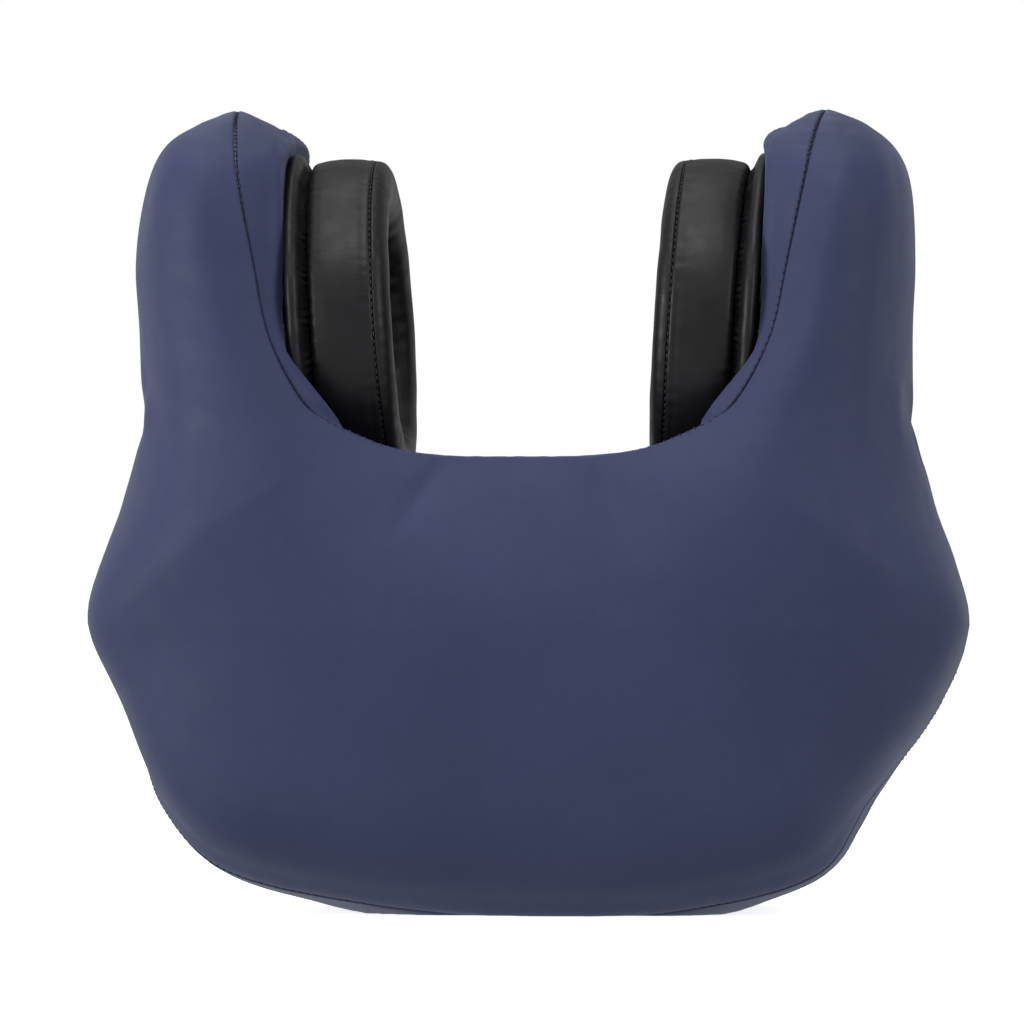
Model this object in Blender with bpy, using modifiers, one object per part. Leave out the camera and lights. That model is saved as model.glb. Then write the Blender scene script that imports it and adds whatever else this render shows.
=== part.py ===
"""Head and neck support cushion with two built-in ear pads.

A thick U of moulded memory foam stands on its flat base with both arms up. A stretch cover of
two panels, joined by one seam round the whole cushion, encloses it. A round ear pad stands on the
inner face of each arm, on a soft gaiter that lets it tilt. The cover opens with a zip at the front.

Frame: metres, origin at the middle of the base. +X to the right seen from the back, +Y from the
back to the front, +Z up. Outline lists are in millimetres.
"""
import math

import bmesh
import bpy
import numpy as np
from mathutils import Vector

MM = 0.001
GAP = 0.3 * MM

# ---------------------------------------------------------------- cushion
COVER_THICKNESS = 0.8 * MM
FOAM_INSET = COVER_THICKNESS + GAP
FRONT_FLAT = 73.0                 # mm, the flat of the front panel before centring

# Lines that run along the U from an arm's tip to the middle of the base, as
# (distance from the middle plane, height) in mm. The two flanks differ slightly.
OUTER_LEFT = [(95.5, 260), (106.8, 255.5), (117.7, 247), (124.2, 234), (127, 210), (125.6, 184),
              (124.8, 157), (131.9, 131), (142.3, 98.7), (130.6, 66.5), (118.1, 34.2),
              (94.2, 11.6), (52, -1), (0, -3.5)]
OUTER_RIGHT = [(95.5, 260), (109.7, 255.5), (119.7, 247), (124.2, 234), (124.6, 210),
               (122.9, 184), (124.2, 157), (131, 131), (141.9, 98.7), (131.6, 66.5),
               (111.2, 38), (91, 11), (52, -1), (0, -3.5)]
SEAM_LINE = [(95.5, 260), (94.2, 256), (92.4, 247.5), (90.2, 235.5), (84.9, 210), (79.6, 186),
             (69.5, 166), (60.5, 158.8), (51, 154.2), (42.5, 150.9), (32.5, 148.7), (22, 147.7),
             (11, 147.5), (0, 147.5)]
RIM_LINE = [(95.5, 260), (87, 256.4), (80, 249.2), (79.3, 238), (77.6, 212), (75.3, 186),
            (63.2, 165), (56.5, 157), (50, 153.3), (42.3, 150.3), (32.4, 148.2), (22, 147),
            (11, 146.7), (0, 146.7)]
INNER_LINE = [(95.5, 260), (85, 256.3), (77, 249.5), (76.6, 238.5), (75.4, 214), (73.9, 186),
              (72.5, 160), (71.6, 143), (68.3, 130.5), (58, 125.2), (44, 124), (29, 123.3),
              (14, 123), (0, 123)]
TIP_LENGTH = 4                    # the first four keys round off the arm's tip

# Cross-section: points round the U, each part of the way between two of the lines above, at the
# keys of SECTION_KEYS. (from line, to line, fractions, depths in mm)
SECTION_KEYS = [4, 6, 8, 11, 13]
SECTION = [
    ("seam", "outer", (0, 0, 0, 0, 0), (-55, -56, -57, -56, -56)),
    ("seam", "outer", (.36, .33, .30, .30, .30), (-61, -67, -72, -73, -74)),
    ("seam", "outer", (.72, .70, .66, .66, .64), (-53, -60, -68, -70, -71)),
    ("seam", "outer", (.93, .94, .94, .93, .92), (-33, -38, -46, -55, -57)),
    ("outer", "inner", (0, 0, 0, 0, 0), (-6, 0, 4, -30, -32)),
    ("outer", "inner", (0, 0, 0, 0, 0), (9, 15, 21, 4, 4)),
    ("outer", "inner", (.04, .03, .03, 0, 0), (24, 30, 38, 38, 40)),
    ("outer", "inner", (.22, .16, .12, .10, .10), (47, 54, 62, 60, 62)),
    ("outer", "inner", (.50, .42, .38, .34, .32), (58, 68, 76, 77, 77)),
    ("outer", "inner", (.76, .74, .72, .74, .74), (57, 66, 74, 76, 76)),
    ("outer", "inner", (.965, .95, .93, .94, .95), (48, 52, 58, 59, 60)),
    ("inner", "seam", (0, 0, 0, 0, 0), (8, 8, 8, 8, 8)),
    ("inner", "seam", (0, .12, .42, .60, .62), (-28, -28, -28, -28, -28)),
    ("rim", "seam", (0, 0, 0, 0, 0), (-45, -54, -50, -47, -47)),
]
# Where the seam leaves the front of the arms and runs to the back edge of the base, as a place in
# SECTION counted from its first point.
LOWER_SEAM_KEYS = [0, 4, 7, 9, 10, 11, 13]
LOWER_SEAM = [6.6, 6.6, 6.2, 5.2, 4.0, 3.75, 3.7]

STATIONS = [0.9, 1.9, 3, 4.2, 5.2, 6, 6.7, 7.4, 8.1, 8.9, 9.7, 10.4, 11.1, 12]
BACK_STEPS = 12
FRONT_STEPS = 19

# ---------------------------------------------------------------- ear units
EAR_X = 75.0 * MM                 # inner face of each arm
EAR_Y = 2.0 * MM
EAR_Z = 188.0 * MM
EAR_TILT = math.radians(3.5)      # the arms' inner faces and the pads lean back to face slightly up
EAR_SEGMENTS = 32
POCKET_RADIUS = 48.0 * MM
POCKET_DEPTH = 24.1 * MM
RIM_RADIUS = 51.0 * MM            # wider mouth of the pocket, round the gaiter
RIM_DEPTH = 6.0 * MM
OPENING_RADIUS = 50.0 * MM
SEAT_RADIUS = 62.0 * MM           # round hollow in the arm and the U's edge that clears the pad
TILT_HEIGHT = 3.5 * MM            # tilt axis above the arm's face, half way up the gaiter

# ---------------------------------------------------------------- zip
ZIP_Z = 53.0 * MM
ZIP_HALF_LENGTH = 65.0 * MM
ZIP_SLOT_HALF_HEIGHT = 12.3 * MM
ZIP_SLOT_MARGIN = 3.0 * MM        # slot in the cover beyond each end of the chain
CHAIN_HALF_WIDTH = 3.0 * MM
TOOTH_PITCH = 4.0 * MM
TEETH = 31                        # on each side
TOOTH_THICKNESS = 1.4 * MM
END_STOP_SIZE = (2.0 * MM, 2.2 * MM, 6.0 * MM)
END_STOP_OFFSET = 0.6 * MM        # of an end stop's middle from the chain's end
SLIDER_REST_X = 57.0 * MM
PULL_AXIS_HEIGHT = 3.75 * MM      # above the front face
SLIDER_HEIGHT = 5.3 * MM          # top of the slider's arch above the front face
ARCH_WIDTH = 2.4 * MM
PULL_THICKNESS = 1.1 * MM

BUILD_NAME = "head_and_neck_support_cushion"


# ---------------------------------------------------------------- scene helpers
def clear_scene():
    for item in list(bpy.data.objects):
        bpy.data.objects.remove(item, do_unlink=True)


def make_collection(name):
    collection = bpy.data.collections.new(name)
    bpy.context.scene.collection.children.link(collection)
    return collection


def material(name, colour, roughness, metallic=0.0):
    mat = bpy.data.materials.new(name)
    mat.use_nodes = True
    shader = mat.node_tree.nodes["Principled BSDF"]
    shader.inputs["Base Color"].default_value = (*colour, 1.0)
    shader.inputs["Roughness"].default_value = roughness
    shader.inputs["Metallic"].default_value = metallic
    return mat


def add_object(name, data, collection, mat=None, parent=None):
    item = bpy.data.objects.new(name, data)
    collection.objects.link(item)
    if mat is not None:
        data.materials.append(mat)
    if parent is not None:
        item.parent = parent
    return item


def mesh_from_bmesh(name, bm):
    mesh = bpy.data.meshes.new(name)
    bm.to_mesh(mesh)
    bm.free()
    return mesh


def add_empty(name, location, collection):
    item = add_object(name, None, collection)
    item.location = location
    return item


def cut(target, cutter):
    modifier = target.modifiers.new("cut_" + cutter.name, "BOOLEAN")
    modifier.operation = "DIFFERENCE"
    modifier.solver = "EXACT"
    modifier.object = cutter


def add_cutter(name, mesh, location, collection):
    item = add_object(name, mesh, collection)
    item.location = location
    item.hide_render = True
    item.display_type = "WIRE"
    return item


def box_mesh(name, size):
    bm = bmesh.new()
    bmesh.ops.create_cube(bm, size=1.0)
    bmesh.ops.scale(bm, vec=Vector(size), verts=bm.verts)
    return mesh_from_bmesh(name, bm)


def bevel(item, width, segments=2):
    modifier = item.modifiers.new("rounded_edges", "BEVEL")
    modifier.width = width
    modifier.segments = segments
    modifier.limit_method = "ANGLE"
    modifier.angle_limit = math.radians(40)


# ---------------------------------------------------------------- cushion shape
def curve_through(keys, values, at):
    """Smooth curve that passes values[i] at keys[i], read at each number of at."""
    keys = np.asarray(keys, dtype=float)
    values = np.asarray(values, dtype=float)
    slopes = np.gradient(values, keys, axis=0)
    at = np.atleast_1d(np.asarray(at, dtype=float))
    left = np.clip(np.searchsorted(keys, at, side="right") - 1, 0, len(keys) - 2)
    span = keys[left + 1] - keys[left]
    t = (at - keys[left]) / span
    shape = (len(at),) + (1,) * (values.ndim - 1)
    t = t.reshape(shape)
    span = span.reshape(shape)
    ends = (2 * t**3 - 3 * t**2 + 1) * values[left] + (3 * t**2 - 2 * t**3) * values[left + 1]
    bends = (t**3 - 2 * t**2 + t) * slopes[left] + (t**3 - t**2) * slopes[left + 1]
    return ends + bends * span


def whole_line(left, right):
    """One line from the left arm's tip, over the middle of the base, to the right arm's tip."""
    start = [(-x, z) for x, z in left]
    end = [(x, z) for x, z in reversed(right[:-1])]
    return np.array(start + end, dtype=float)


LINES = {
    "outer": whole_line(OUTER_LEFT, OUTER_RIGHT),
    "seam": whole_line(SEAM_LINE, SEAM_LINE),
    "rim": whole_line(RIM_LINE, RIM_LINE),
    "inner": whole_line(INNER_LINE, INNER_LINE),
}
LAST_KEY = len(LINES["outer"]) - 1


def section_points(station):
    """The cross-section's own points at one station, in mm."""
    key = min(station, LAST_KEY - station)
    roundness = math.sin(0.5 * math.pi * min(1.0, key / TIP_LENGTH))
    places = {name: curve_through(range(LAST_KEY + 1), line, station)[0]
              for name, line in LINES.items()}
    shape_key = max(key, SECTION_KEYS[0])
    points = []
    for start, end, fractions, depths in SECTION:
        fraction = np.interp(shape_key, SECTION_KEYS, fractions)
        depth = np.interp(shape_key, SECTION_KEYS, depths) * roundness
        x, z = places[start] + fraction * (places[end] - places[start])
        points.append((x, depth, z))
    return np.array(points)


def section_loop(station):
    """Points round the cushion at one station, starting at the back seam, in mm."""
    points = section_points(station)
    closed = np.vstack([points, points[:1]])
    chord = np.concatenate([[0], np.cumsum(np.linalg.norm(np.diff(closed, axis=0), axis=1))])
    fine = np.linspace(0, chord[-1], 600)
    dense = curve_through(chord, closed, fine)
    length = np.concatenate([[0], np.cumsum(np.linalg.norm(np.diff(dense, axis=0), axis=1))])
    key = min(station, LAST_KEY - station)
    lower_seam = np.interp(key, LOWER_SEAM_KEYS, LOWER_SEAM)
    seam_chord = np.interp(lower_seam, range(len(chord)), chord)
    seam_length = np.interp(seam_chord, fine, length)
    wanted = np.concatenate([
        np.linspace(0, seam_length, BACK_STEPS, endpoint=False),
        np.linspace(seam_length, length[-1], FRONT_STEPS, endpoint=False)])
    loop = np.stack([np.interp(wanted, length, dense[:, axis]) for axis in range(3)], axis=1)
    loop[:, 1] = np.minimum(loop[:, 1], FRONT_FLAT)
    loop[:, 2] = np.maximum(loop[:, 2], 0.0)
    return loop


def ear_outward(sign):
    """Direction in which one ear pad faces."""
    return Vector((-sign * math.cos(EAR_TILT), 0, math.sin(EAR_TILT)))


def ear_point(sign, height):
    """Point on one ear pad's centre line at a height above the arm's inner face."""
    return Vector((sign * EAR_X, EAR_Y, EAR_Z)) + ear_outward(sign) * height


def clear_ear_pads(points):
    """Moves points that stand in an ear pad's round hollow to its floor or its side wall."""
    out = points.copy()
    for sign in (-1, 1):
        outward = np.array(ear_outward(sign))
        offset = points - np.array(ear_point(sign, 0))
        height = offset @ outward
        sideways = offset - height[..., None] * outward
        radius = np.linalg.norm(sideways, axis=-1)
        to_wall = SEAT_RADIUS - radius
        inside = (height > 0) & (to_wall > 0) & (points[..., 0] * sign > 0)
        floor = inside & (height <= to_wall)
        wall = inside & (height > to_wall)
        out[floor] -= height[floor][:, None] * outward
        out[wall] += (to_wall[wall] / radius[wall])[:, None] * sideways[wall]
    return out


def cushion_skin():
    """Loops of the cushion's outer surface and its two tips, in metres, centred on Y."""
    places = STATIONS + [LAST_KEY / 2] + [LAST_KEY - place for place in reversed(STATIONS)]
    loops = np.array([section_loop(place) for place in places])
    middle = 0.5 * (loops[..., 1].min() + loops[..., 1].max() + SLIDER_HEIGHT / MM)
    loops[..., 1] -= middle
    tips = np.array([(line_x, -middle, height)
                     for line_x, height in (LINES["outer"][0], LINES["outer"][-1])])
    return clear_ear_pads(loops * MM), tips * MM


def skin_faces(loops, columns, wrap):
    """Triangles over some columns of the loops; the two tips follow the grid's points.

    Each four-sided cell is split along its shorter diagonal.
    """
    faces = []
    width = len(columns)
    first_tip = len(loops) * width
    last = first_tip - width
    for step in range(width if wrap else width - 1):
        after = (step + 1) % width
        faces.append((first_tip, after, step))
        faces.append((first_tip + 1, last + step, last + after))
        for loop in range(len(loops) - 1):
            low, high = loop * width, (loop + 1) * width
            near, far = columns[step], columns[after]
            rising = np.linalg.norm(loops[loop, near] - loops[loop + 1, far])
            falling = np.linalg.norm(loops[loop, far] - loops[loop + 1, near])
            if rising < falling:
                faces.append((low + step, low + after, high + after))
                faces.append((low + step, high + after, high + step))
            else:
                faces.append((low + step, low + after, high + step))
                faces.append((low + after, high + after, high + step))
    return faces


def skin_normals(loops, tips):
    """Outward normal at each point of the closed skin, tips last."""
    bm = bmesh.new()
    points = np.vstack([loops.reshape(-1, 3), tips])
    verts = [bm.verts.new(point) for point in points]
    for face in skin_faces(loops, range(loops.shape[1]), wrap=True):
        bm.faces.new([verts[index] for index in face])
    bmesh.ops.recalc_face_normals(bm, faces=bm.faces)
    bm.normal_update()
    normals = np.array([vert.normal for vert in verts])
    bm.free()
    return normals[:-2].reshape(loops.shape), normals[-2:]


def foam_mesh(loops, tips, normals, tip_normals):
    bm = bmesh.new()
    points = np.vstack([(loops - normals * FOAM_INSET).reshape(-1, 3),
                        tips - tip_normals * FOAM_INSET])
    verts = [bm.verts.new(point) for point in points]
    for face in skin_faces(loops, range(loops.shape[1]), wrap=True):
        bm.faces.new([verts[index] for index in face])
    bmesh.ops.recalc_face_normals(bm, faces=bm.faces)
    return mesh_from_bmesh("foam_core", bm)


def towards(start, goal, distance):
    step = goal - start
    return start + step / np.linalg.norm(step) * distance


def panel_side(loops, tips, columns):
    """Points of one face of a cover panel, drawn back from both seams by half the gap."""
    grid = loops[:, columns].copy()
    for row in grid:
        first, last = row[0].copy(), row[-1].copy()
        row[0] = towards(first, row[1], 0.6 * GAP)
        row[-1] = towards(last, row[-2], 0.6 * GAP)
    middle = len(columns) // 2
    ends = np.array([towards(tips[0], grid[0, middle], 0.8 * GAP),
                     towards(tips[1], grid[-1, middle], 0.8 * GAP)])
    return np.vstack([grid.reshape(-1, 3), ends])


def panel_edge(count, width):
    """Indices round the open edge of a panel's face over a number of loops."""
    first_tip = count * width
    down = [loop * width for loop in range(count)]
    back = [loop * width + width - 1 for loop in reversed(range(count))]
    return [first_tip] + down + [first_tip + 1] + back


def panel_mesh(name, loops, tips, normals, tip_normals, columns):
    """A cover panel: its outer and inner faces joined round the seam."""
    outside = panel_side(loops, tips, columns)
    inside = panel_side(loops - normals * COVER_THICKNESS,
                        tips - tip_normals * COVER_THICKNESS, columns)
    bm = bmesh.new()
    outer = [bm.verts.new(point) for point in outside]
    inner = [bm.verts.new(point) for point in inside]
    for face in skin_faces(loops, columns, wrap=False):
        bm.faces.new([outer[index] for index in face])
        bm.faces.new([inner[index] for index in reversed(face)])
    edge = panel_edge(len(loops), len(columns))
    for here, after in zip(edge, edge[1:] + edge[:1]):
        bm.faces.new([outer[after], outer[here], inner[here], inner[after]])
    bmesh.ops.recalc_face_normals(bm, faces=bm.faces)
    return mesh_from_bmesh(name, bm)


def cylinder_mesh(name, radius, length, segments):
    """A cylinder along X."""
    bm = bmesh.new()
    bmesh.ops.create_cone(bm, cap_ends=True, segments=segments, radius1=radius, radius2=radius,
                          depth=length)
    turn = Vector((0, 0, 1)).rotation_difference(Vector((1, 0, 0))).to_matrix()
    bmesh.ops.rotate(bm, cent=(0, 0, 0), matrix=turn, verts=bm.verts)
    return mesh_from_bmesh(name, bm)


def build_cushion(parts, cutters):
    loops, tips = cushion_skin()
    normals, tip_normals = skin_normals(loops, tips)
    foam = add_object("foam_core", foam_mesh(loops, tips, normals, tip_normals), parts,
                      material("memory_foam", (0.72, 0.70, 0.62), 0.9))
    navy = material("navy_stretch_fabric", (0.058, 0.071, 0.142), 0.75)
    back_columns = list(range(BACK_STEPS + 1))
    front_columns = list(range(BACK_STEPS, BACK_STEPS + FRONT_STEPS)) + [0]
    add_object("cover_back_panel",
               panel_mesh("cover_back_panel", loops, tips, normals, tip_normals, back_columns),
               parts, navy)
    front = add_object("cover_front_panel",
                       panel_mesh("cover_front_panel", loops, tips, normals, tip_normals,
                                  front_columns), parts, navy)
    for side, sign in (("left", -1), ("right", 1)):
        pocket = cylinder_mesh(side + "_pocket", POCKET_RADIUS, 2 * POCKET_DEPTH, EAR_SEGMENTS)
        rim = cylinder_mesh(side + "_rim", RIM_RADIUS, 2 * RIM_DEPTH, EAR_SEGMENTS)
        opening = cylinder_mesh(side + "_opening", OPENING_RADIUS, 2 * RIM_DEPTH, EAR_SEGMENTS)
        for target, name, mesh, height in (
                (foam, "_pocket", pocket, 0), (foam, "_rim", rim, RIM_DEPTH - FOAM_INSET),
                (front, "_opening", opening, 0)):
            cutter = add_cutter(side + name, mesh, ear_point(sign, height), cutters)
            cutter.rotation_euler = (0, sign * EAR_TILT, 0)
            cut(target, cutter)
    return loops[..., 1].max(), front


# ---------------------------------------------------------------- ear units
def turned(name, profile, collection, mat, parent, closed=True):
    """A turned piece about local Z. The profile is (radius, height) in mm, outer side downwards."""
    mesh = bpy.data.meshes.new(name)
    points = [(radius * MM, 0.0, height * MM) for radius, height in profile]
    edges = [(index, index + 1) for index in range(len(points) - 1)]
    if closed:
        edges.append((len(points) - 1, 0))
    mesh.from_pydata(points, edges, [])
    item = add_object(name, mesh, collection, mat, parent)
    screw = item.modifiers.new("turn", "SCREW")
    screw.axis = "Z"
    screw.angle = 2 * math.pi
    screw.steps = EAR_SEGMENTS
    screw.render_steps = EAR_SEGMENTS
    screw.use_merge_vertices = True
    screw.merge_threshold = 0.00001
    screw.use_smooth_shade = True
    return item


CUP_SHELL = [(0, -21.6), (39, -21.6), (43, -17.2), (43, -1.5), (47.6, -1.5), (47.6, -3.2),
             (45, -3.2), (45, -18), (40, -23.6), (0, -23.6)]
ACOUSTIC_FOAM = [(0, -11.3), (36.5, -11.3), (38, -12.8), (38, -21.3), (0, -21.3)]
SUSPENSION_RING = [(37, 4.6), (42.6, 4.6), (42.6, -9), (37, -9)]
GAITER = [(46.4, 6.7), (47.3, 6.7), (49.0, 3.6), (49.7, 0.2), (49.7, -0.8), (48.5, -0.8),
          (48.6, 0.2), (48.0, 3.3)]
BASE_RING = [(36, 6.7), (45.8, 6.7), (45.8, 5.0), (36, 5.0)]
PAD_BAND = [(40, 8.0), (52, 8.0), (54, 10), (54, 25), (53.4, 27.3), (54.4, 27.3), (55, 25),
            (55, 9.6), (52.4, 7.0), (40, 7.0)]
PAD_FACE = [(35, 26.5), (38.5, 32.8), (45, 35), (51.3, 32.8), (54.3, 27.6), (53.3, 27.6),
            (50.7, 31.9), (45, 34), (39.2, 32), (36, 26.3), (36, 10), (39.6, 9.4), (39.6, 8.3),
            (35, 8.3)]
PAD_FOAM = [(39.4, 31.7), (45, 33.6), (50.5, 31.6), (53.2, 26.6), (53.7, 24.8), (53.7, 10.2),
            (51.8, 8.3), (40, 8.3), (40, 9.7), (36.3, 10.3), (36.3, 26.2)]
MESH_DISC = [(0, 10), (34.6, 10), (34.6, 9.4), (0, 9.4)]


def build_ear_unit(side, sign, parts, materials):
    """One ear pad with its gaiter, and the cup that it closes."""
    turn = Vector((0, 0, 1)).rotation_difference(ear_outward(sign))
    cup_axis = add_empty(side + "_cup_axis", ear_point(sign, 0), parts)
    tilt_axis = add_empty(side + "_pad_tilt_axis", ear_point(sign, TILT_HEIGHT), parts)
    for axis in (cup_axis, tilt_axis):
        axis.rotation_mode = "QUATERNION"
        axis.rotation_quaternion = turn
    fixed = [
        ("ear_cup_shell", CUP_SHELL, "cup_plastic", False),
        ("acoustic_foam", ACOUSTIC_FOAM, "dark_foam", False),
        ("suspension_ring", SUSPENSION_RING, "dark_foam", True),
        ("gaiter", GAITER, "black_leatherette", True)]
    for name, profile, slot, closed in fixed:
        turned(side + "_" + name, profile, parts, materials[slot], cup_axis, closed)
    moving = [
        ("pad_base_ring", BASE_RING, "cup_plastic", True),
        ("pad_foam", PAD_FOAM, "dark_foam", True),
        ("pad_band", PAD_BAND, "black_leatherette", True),
        ("pad_face", PAD_FACE, "black_leatherette", True),
        ("acoustic_mesh", MESH_DISC, "black_mesh", False)]
    for name, profile, slot, closed in moving:
        item = turned(side + "_" + name, profile, parts, materials[slot], tilt_axis, closed)
        item.location.z = -TILT_HEIGHT


# ---------------------------------------------------------------- zip
def extruded(name, outlines, thickness, collection, mat, parent=None):
    """A flat piece from closed outlines in mm, in its local XY plane, made a mesh."""
    curve = bpy.data.curves.new(name, "CURVE")
    curve.dimensions = "2D"
    curve.fill_mode = "BOTH"
    curve.extrude = thickness / 2
    for outline in outlines:
        spline = curve.splines.new("POLY")
        spline.points.add(len(outline) - 1)
        for point, (x, y) in zip(spline.points, outline):
            point.co = (x * MM, y * MM, 0, 1)
        spline.use_cyclic_u = True
    source = bpy.data.objects.new(name + "_outline", curve)
    collection.objects.link(source)
    graph = bpy.context.evaluated_depsgraph_get()
    mesh = bpy.data.meshes.new_from_object(source.evaluated_get(graph))
    mesh.name = name
    bpy.data.objects.remove(source, do_unlink=True)
    bm = bmesh.new()
    bm.from_mesh(mesh)
    bmesh.ops.remove_doubles(bm, verts=bm.verts, dist=0.000001)
    bm.to_mesh(mesh)
    bm.free()
    mesh.materials.clear()
    return add_object(name, mesh, collection, mat, parent)


def teeth_outline(phase):
    """Outline in mm of one row of teeth that reach down across the chain's middle line."""
    half = ZIP_HALF_LENGTH / MM
    pitch = TOOTH_PITCH / MM
    bar_bottom, bar_top, tip = 1.1, CHAIN_HALF_WIDTH / MM, -0.7
    root_half, tip_half = 0.85, 0.65
    outline = [(half - 1, bar_top), (-half + 1, bar_top), (-half + 1, bar_bottom)]
    for tooth in range(TEETH):
        centre = (tooth - (TEETH - 1) / 2 + phase) * pitch
        outline += [(centre - root_half, bar_bottom), (centre - tip_half, tip),
                    (centre + tip_half, tip), (centre + root_half, bar_bottom)]
    outline.append((half - 1, bar_bottom))
    return outline


def stand_on_front(item, x, front_y, z, height):
    """Turns a flat piece to face the front and sets its mid-plane at a height above the face."""
    item.rotation_euler = (math.pi / 2, 0, 0)
    item.location = (x, front_y + height, z)


def build_chain(front_y, front_panel, parts, cutters, materials):
    """Slot in the cover with two tapes, two rows of teeth and the end stops."""
    slot_length = 2 * (ZIP_HALF_LENGTH + ZIP_SLOT_MARGIN)
    slot_size = (slot_length, 10 * COVER_THICKNESS, 2 * ZIP_SLOT_HALF_HEIGHT)
    slot = box_mesh("zip_slot", slot_size)
    cut(front_panel, add_cutter("zip_slot", slot, (0, front_y, ZIP_Z), cutters))
    tape_height = ZIP_SLOT_HALF_HEIGHT - CHAIN_HALF_WIDTH - 2 * GAP
    tape_offset = CHAIN_HALF_WIDTH + GAP + tape_height / 2
    for name, way in (("upper", 1), ("lower", -1)):
        tape_size = (slot_length - 2 * GAP, COVER_THICKNESS, tape_height)
        tape = add_object("zip_%s_tape" % name, box_mesh("zip_%s_tape" % name, tape_size),
                          parts, materials["navy_tape"])
        tape.location = (0, front_y - COVER_THICKNESS / 2, ZIP_Z + way * tape_offset)
        outline = [(x, way * y) for x, y in teeth_outline(0.25 * way)]
        row = extruded("zip_%s_teeth" % name, [outline], TOOTH_THICKNESS, parts,
                       materials["navy_coil"])
        stand_on_front(row, 0, front_y, ZIP_Z, 0.1 * MM)
    for name, way in (("left", -1), ("right", 1)):
        stop = add_object("zip_%s_end_stop" % name,
                          box_mesh("zip_%s_end_stop" % name, END_STOP_SIZE),
                          parts, materials["dark_metal"])
        stop.location = (way * (ZIP_HALF_LENGTH + END_STOP_OFFSET), front_y + 0.5 * MM, ZIP_Z)
        bevel(stop, 0.4 * MM)


def slider_mesh():
    """Plate with two side lips over the chain, and the low arch that holds the pull."""
    bm = bmesh.new()
    plate = [(-4.6, 0.35), (-3.5, 0.35), (-3.5, 1.2), (3.5, 1.2), (3.5, 0.35), (4.6, 0.35),
             (4.6, 2.0), (3.8, 2.5), (-3.8, 2.5), (-4.6, 2.0)]
    sections = []
    for x in (-5.5, 5.5):
        sections.append([bm.verts.new((x * MM, y * MM, z * MM)) for z, y in plate])
    bm.faces.new(sections[0])
    bm.faces.new(list(reversed(sections[1])))
    for here in range(len(plate)):
        after = (here + 1) % len(plate)
        bm.faces.new([sections[0][after], sections[0][here], sections[1][here],
                      sections[1][after]])
    bmesh.ops.recalc_face_normals(bm, faces=bm.faces)
    return mesh_from_bmesh("zip_slider", bm)


def arch_outline():
    """Low arch seen from the side, in mm, with the pull's crossbar in its hollow."""
    outer = [(-4.0, 2.2), (4.0, 2.2)]
    outer += [(4.0 * math.cos(a), 2.6 + 2.7 * math.sin(a))
              for a in np.linspace(0, math.pi, 9)]
    inner = [(2.2 * math.cos(a), PULL_AXIS_HEIGHT / MM + 0.95 * math.sin(a))
             for a in np.linspace(0, 2 * math.pi, 12, endpoint=False)]
    return [outer, inner]


def build_slider(front_y, parts, cutters, materials):
    slider = add_object("zip_slider", slider_mesh(), parts, materials["dark_metal"])
    slider.location = (SLIDER_REST_X, front_y, ZIP_Z)
    arch = extruded("zip_slider_arch", arch_outline(), ARCH_WIDTH, cutters, None)
    arch.location = (SLIDER_REST_X, front_y, ZIP_Z)
    arch.hide_render = True
    arch.display_type = "WIRE"
    join = slider.modifiers.new("add_arch", "BOOLEAN")
    join.operation = "UNION"
    join.solver = "EXACT"
    join.object = arch
    return slider


def pull_outlines():
    """Frame with an eye for the slider's arch and a long tab, in mm."""
    tip = [(-22 + 2.6 * math.cos(a), 2.6 * math.sin(a))
           for a in np.linspace(math.pi / 2, 3 * math.pi / 2, 9)]
    frame = [(0.6, -3.2), (0.6, 3.2), (-6, 3.2), (-9, 2.6)] + tip + [(-9, -2.6), (-6, -3.2)]
    eye = [(-0.6, -1.6), (-0.6, 1.6), (-6, 1.6), (-6, -1.6)]
    return [frame, eye]


def build_pull(slider, parts, materials):
    pull = extruded("zip_pull", pull_outlines(), PULL_THICKNESS, parts,
                    materials["dark_metal"], slider)
    pull.rotation_euler = (math.pi / 2, 0, 0)
    pull.location = (0, PULL_AXIS_HEIGHT, 0)


# ---------------------------------------------------------------- whole object
def shared_materials():
    return {
        "black_leatherette": material("black_leatherette", (0.026, 0.025, 0.028), 0.45),
        "cup_plastic": material("cup_plastic", (0.03, 0.03, 0.032), 0.5),
        "dark_foam": material("dark_foam", (0.06, 0.06, 0.065), 0.95),
        "black_mesh": material("black_mesh", (0.02, 0.02, 0.022), 0.8),
        "navy_tape": material("navy_tape", (0.035, 0.042, 0.085), 0.85),
        "navy_coil": material("navy_coil", (0.03, 0.036, 0.07), 0.5),
        "dark_metal": material("dark_metal", (0.12, 0.12, 0.13), 0.4, 0.9),
    }


def main():
    clear_scene()
    parts = make_collection(BUILD_NAME)
    cutters = make_collection(BUILD_NAME + "_cutters")
    materials = shared_materials()
    front_y, front_panel = build_cushion(parts, cutters)
    for side, sign in (("left", -1), ("right", 1)):
        build_ear_unit(side, sign, parts, materials)
    build_chain(front_y, front_panel, parts, cutters, materials)
    slider = build_slider(front_y, parts, cutters, materials)
    build_pull(slider, parts, materials)


main()
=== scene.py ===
"""Looks of the head and neck support cushion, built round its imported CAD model.

The stretch cover is two sewn panels over a foam core, with a stitched seam round the whole
cushion. Each arm carries a leather ear pad on a gathered gaiter, and the front has a coil zip.
Everything is in metres in the CAD's frame; outline and profile lists are in millimetres.
"""

import math

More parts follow.
